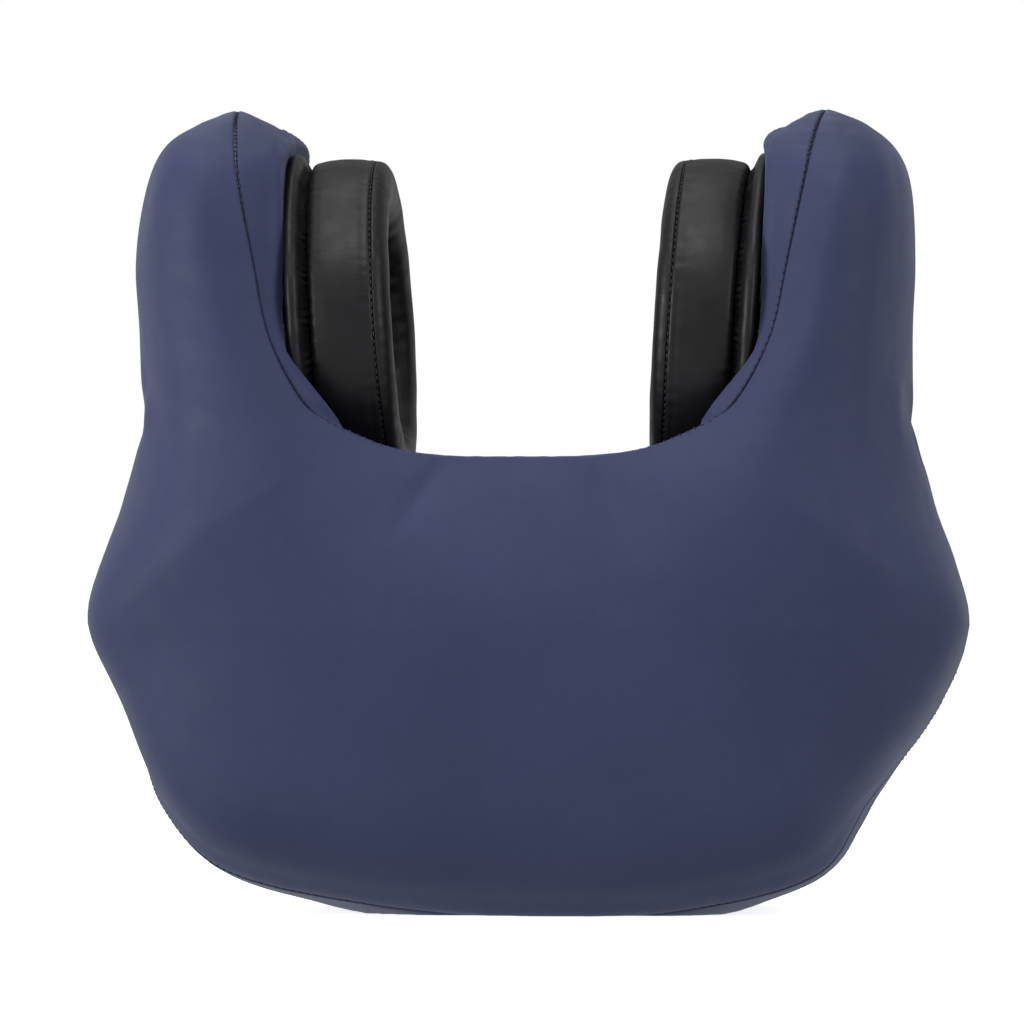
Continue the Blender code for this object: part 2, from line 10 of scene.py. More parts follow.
import bmesh
import bpy
import numpy as np
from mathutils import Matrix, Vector


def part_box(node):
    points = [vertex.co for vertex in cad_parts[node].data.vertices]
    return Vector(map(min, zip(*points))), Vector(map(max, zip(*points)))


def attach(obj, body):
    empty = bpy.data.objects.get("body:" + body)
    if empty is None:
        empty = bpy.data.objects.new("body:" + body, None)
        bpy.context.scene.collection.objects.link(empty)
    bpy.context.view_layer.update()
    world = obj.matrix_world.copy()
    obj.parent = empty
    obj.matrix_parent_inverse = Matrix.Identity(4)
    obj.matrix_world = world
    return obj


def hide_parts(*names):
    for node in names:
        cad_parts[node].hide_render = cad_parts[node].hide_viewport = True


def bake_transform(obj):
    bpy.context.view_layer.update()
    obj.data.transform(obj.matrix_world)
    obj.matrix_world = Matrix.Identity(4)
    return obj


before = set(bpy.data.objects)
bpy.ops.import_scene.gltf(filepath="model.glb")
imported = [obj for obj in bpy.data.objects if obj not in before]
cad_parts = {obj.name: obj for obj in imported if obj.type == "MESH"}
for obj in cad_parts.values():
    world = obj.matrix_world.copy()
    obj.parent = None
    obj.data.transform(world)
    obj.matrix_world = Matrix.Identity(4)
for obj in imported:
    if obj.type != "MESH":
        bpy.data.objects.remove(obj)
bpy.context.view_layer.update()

MM = 0.001
FIRM = "cushion"                                # the body that everything fixed rides on
SIDES = (("left", -1), ("right", 1))

# ---------------------------------------------------------------- cushion outlines
OUTER_LEFT = [(95.5, 260), (107.8, 256.2), (119, 248.4), (125, 234), (128, 210), (125.3, 184),
              (123.8, 158), (130.5, 130.5), (142.8, 96), (132, 66.5), (118.6, 34.2),
              (97, 12.4), (55, 1.6), (0, -3.5)]
OUTER_RIGHT = [(95.5, 260), (109.7, 255.5), (119.7, 247), (124.2, 234), (124.4, 210),
               (121.9, 184), (123, 158), (129.4, 130.5), (142.7, 95.5), (132.8, 66.5),
               (111.8, 38), (95, 11.4), (52, -1), (0, -3.5)]
SEAM_LINE = [(95.5, 260), (94.2, 256), (92.4, 247.5), (90.2, 235.5), (84.9, 210), (79.6, 186),
             (69.5, 166), (60.5, 158.8), (51, 154.2), (42.5, 150.9), (32.5, 148.7), (22, 147.7),
             (11, 147.5), (0, 147.5)]
RIM_LINE = [(95.5, 260), (87, 256.4), (80, 249.2), (79.3, 238), (77.6, 212), (75.3, 186),
            (63.2, 165), (56.5, 157), (50, 153.3), (42.3, 150.3), (32.4, 148.2), (22, 147),
            (11, 146.7), (0, 146.7)]
INNER_LINE = [(95.5, 260), (85, 256.3), (77, 249.5), (76.6, 238.5), (75.4, 214), (73.9, 186),
              (72.5, 160), (71.6, 143), (68.3, 130.5), (58, 125.2), (44, 124), (29, 123.3),
              (14, 123), (0, 123)]
TIP_LENGTH = 4                                  # outline points in an arm's rounded tip
SECTION_KEYS = [4, 6, 8, 11, 13]                # outline points that the section is given at
SECTION = [                                     # from a line, towards a line, share, depth
    ("seam", "outer", (0, 0, 0, 0, 0), (-55, -59.5, -59, -56.5, -56)),
    ("seam", "outer", (.36, .33, .30, .30, .30), (-61, -67, -72, -73, -74)),
    ("seam", "outer", (.72, .70, .66, .66, .64), (-53, -60, -68, -70, -71)),
    ("seam", "outer", (.93, .94, .94, .93, .92), (-33, -38, -46, -55, -57)),
    ("outer", "inner", (0, 0, 0, 0, 0), (-6, 0, 4, -30, -32)),
    ("outer", "inner", (0, 0, 0, 0, 0), (9, 15, 21, 4, 4)),
    ("outer", "inner", (.04, .03, .03, 0, 0), (24, 30, 38, 38, 40)),
    ("outer", "inner", (.22, .16, .12, .10, .10), (47, 54, 62, 60, 62)),
    ("outer", "inner", (.50, .42, .38, .34, .32), (58, 68, 76, 77, 77)),
    ("outer", "inner", (.76, .74, .72, .74, .74), (57, 66, 74, 76, 76)),
    ("outer", "inner", (.965, .95, .93, .94, .95), (48, 52, 58, 59, 60)),
    ("inner", "seam", (0, 0, 0, 0, 0), (8, 8, 8, 8, 8)),
    ("inner", "seam", (0, .12, .42, .60, .62), (-28, -28, -28, -28, -28)),
    ("rim", "seam", (0, 0, 0, 0, 0), (-46, -56.5, -51, -47, -47)),
]
LOWER_SEAM_KEYS = [0, 4, 7, 9, 10, 11, 13]      # outline points that the outer seam is given at
LOWER_SEAM = [6.6, 6.6, 6.2, 5.2, 4.0, 3.75, 3.7]    # its place, counted in rows of SECTION
FRONT_FLAT = 73.0                               # mm, before the cushion is centred on Y

# The finer net that the visible fabric is made on
TIP_ROWS = 38
ARM_ROWS = 88                                   # from an arm's tip to the middle of the base
BACK_COLUMNS = 84
FRONT_COLUMNS = 116
SEAM_STEPS = [0.16, 0.45, 0.85, 1.35, 2.0, 2.9, 4.2, 6.0, 8.4]    # mm from a seam
FABRIC_THICKNESS = 0.7 * MM
FOAM_DEPTH = 3.4 * MM                           # of the foam core below the cover's face
FOAM_DENT = 3 * MM                              # deeper still, behind the zip
FOAM_SPARE = 2.4 * MM                           # between the foam core and an ear pad
TIP_SINK = 0.9 * MM
SWELL_START, SWELL_LIMIT = 1.4 * MM, 1.6 * MM   # of the cover's padding
MOULD_LINE = 93                                 # mm, height of the foam's parting line
SUNK_STITCHES = 36 * MM                         # reach either way of the U's middle

# ---------------------------------------------------------------- ear units
EAR_X, EAR_Y, EAR_Z = 75.0 * MM, 2.0 * MM, 188.0 * MM
EAR_TILT = math.radians(3.5)                    # the pads lean back to face slightly up
SEAT_RADIUS = 58.8 * MM
OPENING_RADIUS = 50.5 * MM
POCKET_RADIUS = 48.0 * MM
POCKET_DEPTH = 24.2 * MM
PAD_SEGMENTS = 288
GAITER_SEGMENTS = 720

# ---------------------------------------------------------------- zip
ZIP_Z = 53.0 * MM
ZIP_SLOT = (68.0 * MM, 12.3 * MM)               # half length, half height
COIL_PITCH, COIL_TURNS = 1.5, 85                # pitch in mm
COIL_WIRE = 0.26 * MM                           # radius
FOLD_POINTS, STITCHED_POINTS = 360, 480         # round the slot, of its fold and its stitches
FOLD_PROFILE = [(-1.6, -0.55), (-1.2, 0.25), (-0.3, 0.62), (1.2, 0.60), (2.6, 0.35), (3.4, -0.1),
                (3.0, -0.5), (0.8, -0.7)]       # away from the slot, up from the front face
FRONT_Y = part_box("cover_front_panel")[1].y


# ---------------------------------------------------------------- geometry helpers
def curve_through(keys, values, at):
    """Smooth curve that passes values[i] at keys[i], read at each number of at."""
    keys = np.asarray(keys, dtype=float)
    values = np.asarray(values, dtype=float)
    slopes = np.gradient(values, keys, axis=0)
    at = np.atleast_1d(np.asarray(at, dtype=float))
    left = np.clip(np.searchsorted(keys, at, side="right") - 1, 0, len(keys) - 2)
    span = keys[left + 1] - keys[left]
    t = (at - keys[left]) / span
    shape = (len(at),) + (1,) * (values.ndim - 1)
    t = t.reshape(shape)
    span = span.reshape(shape)
    ends = (2 * t**3 - 3 * t**2 + 1) * values[left] + (3 * t**2 - 2 * t**3) * values[left + 1]
    bends = (t**3 - 2 * t**2 + t) * slopes[left] + (t**3 - t**2) * slopes[left + 1]
    return ends + bends * span


def lengths_along(points):
    """Distance travelled at each point of a line."""
    steps = np.linalg.norm(np.diff(points, axis=0), axis=1)
    return np.concatenate([[0.0], np.cumsum(steps)])


def read_line(points, length, wanted):
    """Points of a line, whose points lie at the distances length, at the wanted distances."""
    return np.stack([np.interp(wanted, length, column) for column in points.T], axis=1)


def angles_round(count):
    """Angles of count points round a circle."""
    return np.arange(count) * 2 * math.pi / count


def unit(vectors):
    return vectors / np.maximum(np.linalg.norm(vectors, axis=-1, keepdims=True), 1e-12)


def grid_faces(rows, columns, wrap_rows=False, wrap_columns=False):
    row = np.arange(rows if wrap_rows else rows - 1)
    column = np.arange(columns if wrap_columns else columns - 1)
    row, column = np.meshgrid(row, column, indexing="ij")
    next_row, next_column = (row + 1) % rows, (column + 1) % columns
    corners = [row * columns + column, row * columns + next_column,
               next_row * columns + next_column, next_row * columns + column]
    return np.stack(corners, axis=-1).reshape(-1, 4)


def capped_faces(rows, columns, wrap_columns=False):
    """Faces of a grid with one more point beyond its first row and one beyond its last."""
    faces = [tuple(face) for face in grid_faces(rows, columns, wrap_columns=wrap_columns)]
    tip = rows * columns
    for column in range(columns if wrap_columns else columns - 1):
        after = (column + 1) % columns
        faces.append((tip, after, column))
        faces.append((tip + 1, tip - columns + column, tip - columns + after))
    return faces


def grid_normals(points, wrap_rows=False, wrap_columns=False):
    """Normals of a grid of points, from its neighbours along both directions."""
    def slope(axis, wrap):
        if wrap:
            return np.roll(points, -1, axis) - np.roll(points, 1, axis)
        return np.gradient(points, axis=axis)
    return unit(np.cross(slope(0, wrap_rows), slope(1, wrap_columns)))


def add_object(name, data):
    item = bpy.data.objects.new(name, data)
    bpy.context.scene.collection.objects.link(item)
    return item


def mesh_object(name, points, faces):
    mesh = bpy.data.meshes.new(name)
    mesh.from_pydata([tuple(point) for point in points], [], [tuple(face) for face in faces])
    mesh.validate()
    mesh.shade_smooth()
    return add_object(name, mesh)


def grid_object(name, grid, wrap_columns=False):
    """A surface from a grid of points whose rows run round it."""
    rows, columns = grid.shape[:2]
    return mesh_object(name, grid.reshape(-1, 3), grid_faces(rows, columns, True, wrap_columns))


def nearest_on(line):
    """Gives the point of a line that is nearest to a point."""
    def inside(centre):
        return line[np.argmin(np.linalg.norm(line - np.array(centre), axis=1))]
    return inside


def face_outwards(item, inside):
    """Turns an open surface so that it faces away from the point inside(centre) of each face."""
    mesh = item.data
    score = sum((face.center - Vector(inside(face.center))).dot(face.normal) * face.area
                for face in mesh.polygons)
    if score < 0:
        mesh.flip_normals()


def add_uv(item, place):
    """A UV map in metres from place, which holds (u, v) for each vertex."""
    layer = item.data.uv_layers.new(name="cloth")
    corner = np.zeros(len(item.data.loops), dtype=int)
    item.data.loops.foreach_get("vertex_index", corner)
    layer.data.foreach_set("uv", np.asarray(place, dtype=np.float32)[corner].ravel())


def evaluated_mesh(item):
    graph = bpy.context.evaluated_depsgraph_get()
    return bpy.data.meshes.new_from_object(item.evaluated_get(graph))


def apply_modifiers(item):
    mesh = evaluated_mesh(item)
    old = item.data
    item.modifiers.clear()
    item.data = mesh
    mesh.name = old.name
    bpy.data.meshes.remove(old)
    return item


def thicken(item, thickness):
    """Gives a surface its thickness on the inner side, with closed edges."""
    modifier = item.modifiers.new("thickness", "SOLIDIFY")
    modifier.thickness = thickness
    modifier.offset = -1
    modifier.use_even_offset = False
    return apply_modifiers(item)


def dress(item, mat):
    """Gives a piece or a CAD node its finish."""
    item.data.materials.clear()
    item.data.materials.append(mat)


def finish_piece(item, body, mat, replaced=()):
    """Finishes a piece that rides on body, if one is given; without one, it is left unattached."""
    if body is not None:
        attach(item, body)
    if replaced:
        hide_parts(*replaced)
    dress(item, mat)
    return item


# ---------------------------------------------------------------- cloth simulation
CLOTH_FRAMES = 20
CLOTH_SETTINGS = {"use_pressure": True, "uniform_pressure_force": 4.0, "quality": 6, "mass": 0.25,
                  "tension_stiffness": 12, "compression_stiffness": 12, "bending_stiffness": 1.5}


def simulated(points, faces, held):
    """Points of a closed cloth after it is blown up from inside with the held points fixed."""
    item = mesh_object("cloth_trial", points, faces)
    group = item.vertex_groups.new(name="held")
    group.add([int(index) for index in held], 1.0, "REPLACE")
    cloth = item.modifiers.new("cloth", "CLOTH")
    for key, value in CLOTH_SETTINGS.items():
        setattr(cloth.settings, key, value)
    cloth.settings.vertex_group_mass = "held"
    cloth.settings.effector_weights.gravity = 0
    cloth.collision_settings.use_collision = False
    cloth.point_cache.frame_start = 1
    cloth.point_cache.frame_end = CLOTH_FRAMES
    scene = bpy.context.scene
    for number in range(1, CLOTH_FRAMES + 1):
        scene.frame_set(number)
    graph = bpy.context.evaluated_depsgraph_get()
    result = item.evaluated_get(graph)
    moved = np.zeros(len(points) * 3, dtype=np.float32)
    result.data.vertices.foreach_get("co", moved)
    mesh = item.data
    bpy.data.objects.remove(item, do_unlink=True)
    bpy.data.meshes.remove(mesh)
    scene.frame_set(1)
    return moved.reshape(-1, 3).astype(float)


def sampled(count, step, wrap):
    """Every step-th of count places, and the last of them too unless they wrap."""
    places = np.arange(0, count, step)
    return places if wrap else np.unique(np.append(places, count - 1))


def filled_in(values, places, count, wrap):
    """Rows of values that are given at some places, read at all count of them."""
    if wrap:
        places, values = np.append(places, count), np.vstack([values, values[:1]])
    return curve_through(places, values, np.arange(count))


def swell(points, normals, held, rows, columns, start_depth, cap, wrap_rows, wrap_columns):
    """Height that simulated padding adds to a fine grid, worked out on every rows-th, columns-th
    point of it and capped either way. held marks the fine grid's fixed points."""
    row_count, column_count = points.shape[:2]
    row_at = sampled(row_count, rows, wrap_rows)
    column_at = sampled(column_count, columns, wrap_columns)
    kept = np.ix_(row_at, column_at)
    coarse, coarse_normals, fixed = points[kept], normals[kept], held[kept]
    start = coarse - coarse_normals * np.where(fixed, 0.0, start_depth)[..., None]
    faces = grid_faces(len(row_at), len(column_at), wrap_rows, wrap_columns)
    winding = np.cross(start[1, 0] - start[0, 0], start[0, 1] - start[0, 0])
    if winding @ coarse_normals[0, 0] > 0:
        faces = faces[:, ::-1]
    moved = simulated(start.reshape(-1, 3), faces, np.flatnonzero(fixed.ravel()))
    moved = moved.reshape(start.shape)
    height = np.clip(np.sum((moved - coarse) * coarse_normals, axis=-1), -cap, cap)
    height = filled_in(height, row_at, row_count, wrap_rows)
    return filled_in(height.T, column_at, column_count, wrap_columns).T


# ---------------------------------------------------------------- materials
class Nodes:
    """A short way to build the nodes of a material or a world."""

    def __init__(self, name, kind="materials"):
        self.owner = getattr(bpy.data, kind).new(name)
        self.owner.use_nodes = True
        self.tree = self.owner.node_tree
        self.shader = self.tree.nodes.get("Principled BSDF")

    def add(self, kind, **settings):
        node = self.tree.nodes.new("ShaderNode" + kind)
        for key, value in settings.items():
            if key in node.inputs.keys():
                node.inputs[key].default_value = value
            else:
                setattr(node, key, value)
        return node

    def link(self, source, target):
        self.tree.links.new(source, target)

    def place(self, scale, coordinates="Object"):
        where = self.add("TexCoord")
        mapping = self.add("Mapping", Scale=scale)
        self.link(where.outputs[coordinates], mapping.inputs["Vector"])
        return mapping.outputs["Vector"]

    def noise(self, size, detail, stretch=(1, 1, 1)):
        """Noise with features of about size metres."""
        vector = self.place([part / size for part in stretch])
        node = self.add("TexNoise", Scale=1.0, Detail=detail)
        self.link(vector, node.inputs["Vector"])
        return node.outputs["Fac"]

    def cells(self, size, **settings):
        """Distance from the middle of the nearest cell, of cells of about size metres."""
        node = self.add("TexVoronoi", Scale=1.0, **settings)
        self.link(self.place([1 / size] * 3), node.inputs["Vector"])
        return node.outputs["Distance"]

    def ramp(self, value, low, high, first, last):
        node = self.add("MapRange")
        self.link(value, node.inputs["Value"])
        for key, number in (("From Min", low), ("From Max", high),
                            ("To Min", first), ("To Max", last)):
            node.inputs[key].default_value = number
        return node.outputs["Result"]

    def math(self, operation, first, second):
        node = self.add("Math", operation=operation)
        for socket, value in zip(node.inputs, (first, second)):
            if isinstance(value, (int, float)):
                socket.default_value = value
            else:
                self.link(value, socket)
        return node.outputs[0]

    def colours(self, value, first, second):
        node = self.add("Mix", data_type="RGBA")
        self.link(value, node.inputs[0])
        node.inputs[6].default_value = (*first, 1)
        node.inputs[7].default_value = (*second, 1)
        self.link(node.outputs[2], self.shader.inputs["Base Color"])

    def mottle(self, size, detail, first, second, low=0.3, high=0.7):
        """Base colour that drifts between two near ones."""
        self.colours(self.ramp(self.noise(size, detail), low, high, 0.0, 1.0), first, second)

    def roughness(self, size, detail, first, second):
        """Roughness that drifts between two values."""
        drift = self.ramp(self.noise(size, detail), 0.3, 0.7, first, second)
        self.link(drift, self.shader.inputs["Roughness"])

    def bump(self, height, distance, strength, under=None):
        node = self.add("Bump", Distance=distance, Strength=strength)
        self.link(height, node.inputs["Height"])
        if under is not None:
            self.link(under, node.inputs["Normal"])
        self.link(node.outputs["Normal"], self.shader.inputs["Normal"])
        return node.outputs["Normal"]

    def surface(self, **values):
        for key, value in values.items():
            self.shader.inputs[key.replace("_", " ")].default_value = value

    def weave(self, pitch_u, pitch_v):
        """Over-and-under pattern of two crossing threads on the cloth's own UV map."""
        bands = []
        for pitch, direction in ((pitch_u, "X"), (pitch_v, "Y")):
            scale = 2 * math.pi / (20 * pitch)
            wave = self.add("TexWave", wave_type="BANDS", bands_direction=direction, Scale=1.0)
            self.link(self.place((scale, scale, scale), "UV"), wave.inputs["Vector"])
            bands.append(wave.outputs["Fac"])
        return self.math("MULTIPLY", bands[0], bands[1])


def navy_fabric():
    """Fine brushed stretch jersey."""
    made = Nodes("navy_stretch_jersey")
    fine = made.math("MULTIPLY", made.noise(4 * MM, 4), 0.35)
    blotch = made.math("ADD", made.noise(70 * MM, 3), fine)
    made.colours(made.ramp(blotch, 0.45, 0.95, 0.0, 1.0),
                 (0.0255, 0.0328, 0.082), (0.0325, 0.0408, 0.098))
    made.roughness(9 * MM, 5, 0.56, 0.66)
    made.surface(Sheen_Weight=0.14, Sheen_Roughness=0.4, Sheen_Tint=(0.75, 0.8, 1.0, 1.0),
                 Specular_IOR_Level=0.22)
    knit = made.bump(made.weave(0.55 * MM, 0.42 * MM), 0.05 * MM, 0.5)
    made.bump(made.noise(1.6 * MM, 4), 0.06 * MM, 0.5, knit)
    return made.owner


def leatherette():
    """Soft black polyurethane leather with a fine pebble grain."""
    made = Nodes("black_leatherette_grain")
    made.mottle(16 * MM, 4, (0.0050, 0.0048, 0.0058), (0.0080, 0.0077, 0.0094))
    made.roughness(5 * MM, 5, 0.40, 0.52)
    made.surface(Specular_IOR_Level=0.28)
    pebbles = made.cells(0.75 * MM, feature="SMOOTH_F1", Smoothness=0.6)
    grain = made.bump(pebbles, 0.05 * MM, 0.45)
    made.bump(made.noise(3 * MM, 5), 0.10 * MM, 0.35, grain)
    return made.owner


def sewing_thread(name, first, second):
    made = Nodes(name)
    made.mottle(1.2 * MM, 3, first, second, 0.35, 0.65)
    made.surface(Roughness=0.6, Sheen_Weight=0.1, Specular_IOR_Level=0.35)
    made.bump(made.noise(0.25 * MM, 2), 0.06 * MM, 0.8)
    return made.owner


def foam(name, first, second, pore):
    """Open-cell foam: pores of two sizes."""
    made = Nodes(name)
    small = made.math("MULTIPLY", made.noise(pore * 0.6, 3), 0.4)
    depth = made.math("ADD", made.cells(pore, feature="F1"), small)
    made.colours(made.ramp(depth, 0.2, 0.9, 1.0, 0.0), first, second)
    made.surface(Roughness=0.92, Specular_IOR_Level=0.2)
    made.bump(depth, 0.35 * pore, 0.6)
    return made.owner


def plastic(name, mottle, roughness, grain, depth):
    """Plastic with a fine grain; mottle and roughness are what those two methods take."""
    made = Nodes(name)
    made.mottle(*mottle)
    made.roughness(*roughness)
    made.bump(made.noise(grain, 2), depth, 0.5)
    return made.owner


def moulded_plastic():
    return plastic("moulded_black_plastic",
                   (25 * MM, 3, (0.024, 0.024, 0.026), (0.033, 0.033, 0.035)),
                   (6 * MM, 4, 0.42, 0.55), 0.5 * MM, 0.03 * MM)


def mesh_cloth():
    """Thin knitted acoustic mesh with round openings."""
    made = Nodes("black_acoustic_knit")
    holes = made.cells(1.1 * MM, feature="F1", Randomness=0.12)
    open_part = made.ramp(holes, 0.25, 0.42, 0.0, 1.0)
    made.colours(open_part, (0.004, 0.004, 0.0045), (0.026, 0.026, 0.029))
    made.surface(Roughness=0.8, Sheen_Weight=0.2, Sheen_Roughness=0.4)
    made.bump(open_part, 0.2 * MM, 0.7)
    return made.owner


def zip_tape():
    made = Nodes("navy_zip_tape_twill")
    rib = made.add("TexWave", wave_type="BANDS", bands_direction="DIAGONAL", Scale=1.0)
    made.link(made.place([1 / (1.6 * MM)] * 3), rib.inputs["Vector"])
    made.mottle(7 * MM, 4, (0.020, 0.026, 0.060), (0.028, 0.035, 0.076))
    made.surface(Roughness=0.78, Sheen_Weight=0.15, Specular_IOR_Level=0.3)
    made.bump(rib.outputs["Fac"], 0.10 * MM, 0.8)
    return made.owner


def coil_plastic():
    return plastic("navy_coil_nylon",
                   (5 * MM, 3, (0.018, 0.022, 0.048), (0.026, 0.031, 0.062)),
                   (2 * MM, 3, 0.30, 0.44), 0.4 * MM, 0.02 * MM)


def dark_metal():
    """Gunmetal plating, brighter where it is rubbed."""
    made = Nodes("gunmetal_plating")
    rubbed = made.ramp(made.noise(2.5 * MM, 5), 0.50, 0.70, 0.0, 1.0)
    made.colours(rubbed, (0.085, 0.087, 0.095), (0.17, 0.17, 0.18))
    made.link(made.ramp(rubbed, 0.0, 1.0, 0.42, 0.28), made.shader.inputs["Roughness"])
    made.surface(Metallic=0.95)
    made.bump(made.noise(0.35 * MM, 3, stretch=(0.2, 1, 1)), 0.012 * MM, 0.6)
    return made.owner


# ---------------------------------------------------------------- cushion shape
def whole_line(left, right):
    """One line from the left arm's tip, over the middle of the base, to the right arm's tip."""
    start = [(-x, z) for x, z in left]
    end = [(x, z) for x, z in reversed(right[:-1])]
    return np.array(start + end, dtype=float)


LINES = {
    "outer": whole_line(OUTER_LEFT, OUTER_RIGHT),
    "seam": whole_line(SEAM_LINE, SEAM_LINE),
    "rim": whole_line(RIM_LINE, RIM_LINE),
    "inner": whole_line(INNER_LINE, INNER_LINE),
}
LAST_KEY = len(LINES["outer"]) - 1


def section_points(station):
    """The cross-section's own points at one station, in mm."""
    key = min(station, LAST_KEY - station)
    roundness = math.sin(0.5 * math.pi * min(1.0, key / TIP_LENGTH))
    places = {name: curve_through(range(LAST_KEY + 1), line, station)[0]
              for name, line in LINES.items()}
    shape_key = max(key, SECTION_KEYS[0])
    points = []
    for start, end, fractions, depths in SECTION:
        fraction = np.interp(shape_key, SECTION_KEYS, fractions)
        depth = np.interp(shape_key, SECTION_KEYS, depths) * roundness
        x, z = places[start] + fraction * (places[end] - places[start])
        points.append((x, depth, z))
    return np.array(points)


def seam_spacing(length, columns):
    """Distances across a panel of some length in mm, close together next to both of its seams."""
    scale = min(1.0, length / 60.0)
    near = np.array(SEAM_STEPS) * scale
    middle = np.linspace(near[-1], length - near[-1], columns - 2 * len(near) + 2)
    return np.concatenate([near[:-1], middle, length - near[-2::-1]])


def section_loop(station):
    """Points round the cushion at one station in mm, back panel first, and the seams' lengths."""
    points = section_points(station)
    closed = np.vstack([points, points[:1]])
    chord = lengths_along(closed)
    fine = np.linspace(0, chord[-1], 900)
    dense = curve_through(chord, closed, fine)
    length = lengths_along(dense)
    key = min(station, LAST_KEY - station)
    lower_seam = curve_through(LOWER_SEAM_KEYS, LOWER_SEAM, key)[0]
    seam_length = np.interp(np.interp(lower_seam, range(len(chord)), chord), fine, length)
    wanted = np.concatenate([
        seam_spacing(seam_length, BACK_COLUMNS),
        seam_length + seam_spacing(length[-1] - seam_length, FRONT_COLUMNS)])
    loop = read_line(dense, length, wanted)
    loop[:, 1] = np.minimum(loop[:, 1], FRONT_FLAT)
    loop[:, 2] = np.maximum(loop[:, 2], 0.0)
    return loop, wanted, seam_length, length[-1]


def ear_world(sign, height, across, up):
    """Points from their height above an arm's inner face and their place across its ear pad."""
    height, across, up = np.broadcast_arrays(height, across, up)
    x = sign * (EAR_X - height * math.cos(EAR_TILT) + up * math.sin(EAR_TILT))
    z = EAR_Z + height * math.sin(EAR_TILT) + up * math.cos(EAR_TILT)
    return np.stack([x, EAR_Y + across, z], axis=-1)


def ear_local(points):
    """Height above the nearer arm's inner face, and place across its ear pad, of points."""
    out = np.abs(points[..., 0]) - EAR_X
    rise = points[..., 2] - EAR_Z
    height = rise * math.sin(EAR_TILT) - out * math.cos(EAR_TILT)
    up = out * math.sin(EAR_TILT) + rise * math.cos(EAR_TILT)
    return height, points[..., 1] - EAR_Y, up


def side_sign(points):
    return np.where(points[..., 0] < 0, -1.0, 1.0)


def clear_ear_pads(points, spare=0.0):
    """Moves points that stand in an ear pad's round hollow to its floor or its side wall; spare
    makes the hollow deeper and wider."""
    height, across, up = ear_local(points)
    radius = np.maximum(np.hypot(across, up), 1e-9)
    to_wall = SEAT_RADIUS + spare - radius
    inside = (height > -spare) & (to_wall > 0)
    growth = np.where(inside & (height + spare > to_wall), (SEAT_RADIUS + spare) / radius, 1.0)
    height = np.where(inside & (height + spare <= to_wall), -spare, height)
    return ear_world(side_sign(points), height, across * growth, up * growth)


def fill_out_seats(points):
    """Fills out the arms' inner faces under the ear pads' flanges, where the arms' front edge
    would turn away from them."""
    height, across, up = ear_local(points)
    under = np.clip((70 * MM - np.hypot(across, up)) / (12 * MM), 0, 1)
    under = under * np.clip(across / (15 * MM), 0, 1)
    under = under * np.clip((height + 24 * MM) / (16 * MM), 0, 1)
    height = np.where(height < 0, height * (1 - under), height)
    return ear_world(side_sign(points), height, across, up)


class Skin:
    """The cushion's smooth outer surface as a fine grid: rows run from the left tip to the right
    one, columns run round the section, the back panel's first."""

    def __init__(self):
        tip = np.linspace(0.0, TIP_LENGTH, TIP_ROWS + 1)[1:]
        arm = np.linspace(TIP_LENGTH, LAST_KEY / 2, ARM_ROWS + 1)[1:]
        half = np.concatenate([tip, arm])
        self.stations = np.concatenate([half, LAST_KEY - half[-2::-1]])
        made = [section_loop(station) for station in self.stations]
        points = np.array([loop for loop, _, _, _ in made]) * MM
        middle_y = FRONT_Y - FRONT_FLAT * MM
        points[..., 1] += middle_y
        self.uncut = fill_out_seats(points)
        self.across = np.array([wanted for _, wanted, _, _ in made])
        self.seam_at = np.array([seam for _, _, seam, _ in made])
        self.round = np.array([whole for _, _, _, whole in made])
        self.points = self.drawn_round_pads()
        self.tips = np.array([(x * MM, middle_y, z * MM) for x, z in LINES["outer"][[0, -1]]])
        self.normals = grid_normals(self.points, wrap_columns=True)
        middle = self.points[:, :BACK_COLUMNS].mean(axis=(0, 1))
        if self.normals[len(self.points) // 2, BACK_COLUMNS // 2] @ middle < 0:
            self.normals = -self.normals
        self.tip_normals = np.array([(-0.25, 0, 0.97), (0.25, 0, 0.97)])

    def drawn_round_pads(self):
        """The skin pressed clear of the ear pads, the push easing off along the arms."""
        push = clear_ear_pads(self.uncut) - self.uncut
        height, across, up = ear_local(self.uncut)
        weight = np.clip((13 * MM - np.abs(np.hypot(across, up) - SEAT_RADIUS)) / (6 * MM), 0, 1)
        weight = weight * np.clip((20 * MM - np.abs(height)) / (6 * MM), 0, 1)
        weight = weight * np.clip((self.seam_distance() - 1.5) / 5, 0, 1)
        eased = push
        for _ in range(16):
            average = eased.copy()
            average[1:-1] = (eased[:-2] + eased[2:]) / 2
            eased = clear_ear_pads(self.uncut + average) - self.uncut
        return clear_ear_pads(self.uncut + push + (eased - push) * weight[..., None])

    def seam_lines(self):
        """Both seams, between the panels' facing edges: the one that starts at the back of the
        arms, and the one round the outside. Each with its normals."""
        last = self.points.shape[1] - 1
        lines = []
        for one, other in ((0, last), (BACK_COLUMNS - 1, BACK_COLUMNS)):
            line = 0.5 * (self.points[:, one] + self.points[:, other])
            normal = unit(self.normals[:, one] + self.normals[:, other])
            lines.append((line, normal))
        return lines

    def seam_distance(self):
        """Distance in mm of each grid point from the nearest seam, along the section."""
        back = self.across[:, :BACK_COLUMNS]
        front = self.across[:, BACK_COLUMNS:]
        seam = self.seam_at[:, None]
        whole = self.round[:, None]
        return np.hstack([np.minimum(back, seam - back), np.minimum(front - seam, whole - front)])


def gathers(along, across, centre, reach, pitch, width, height):
    """Small puckers that run away from a seam, round centre on it. All in mm."""
    window = np.exp(-((along - centre) / reach) ** 2)
    turn = 2 * math.pi * along / pitch
    wave = np.sin(turn) + 0.6 * np.sin(turn / 0.62 + 1.7)
    fall = np.exp(-(across / width) ** 2) * (1 - np.exp(-(across / 1.2) ** 2))
    return height * window * wave * fall


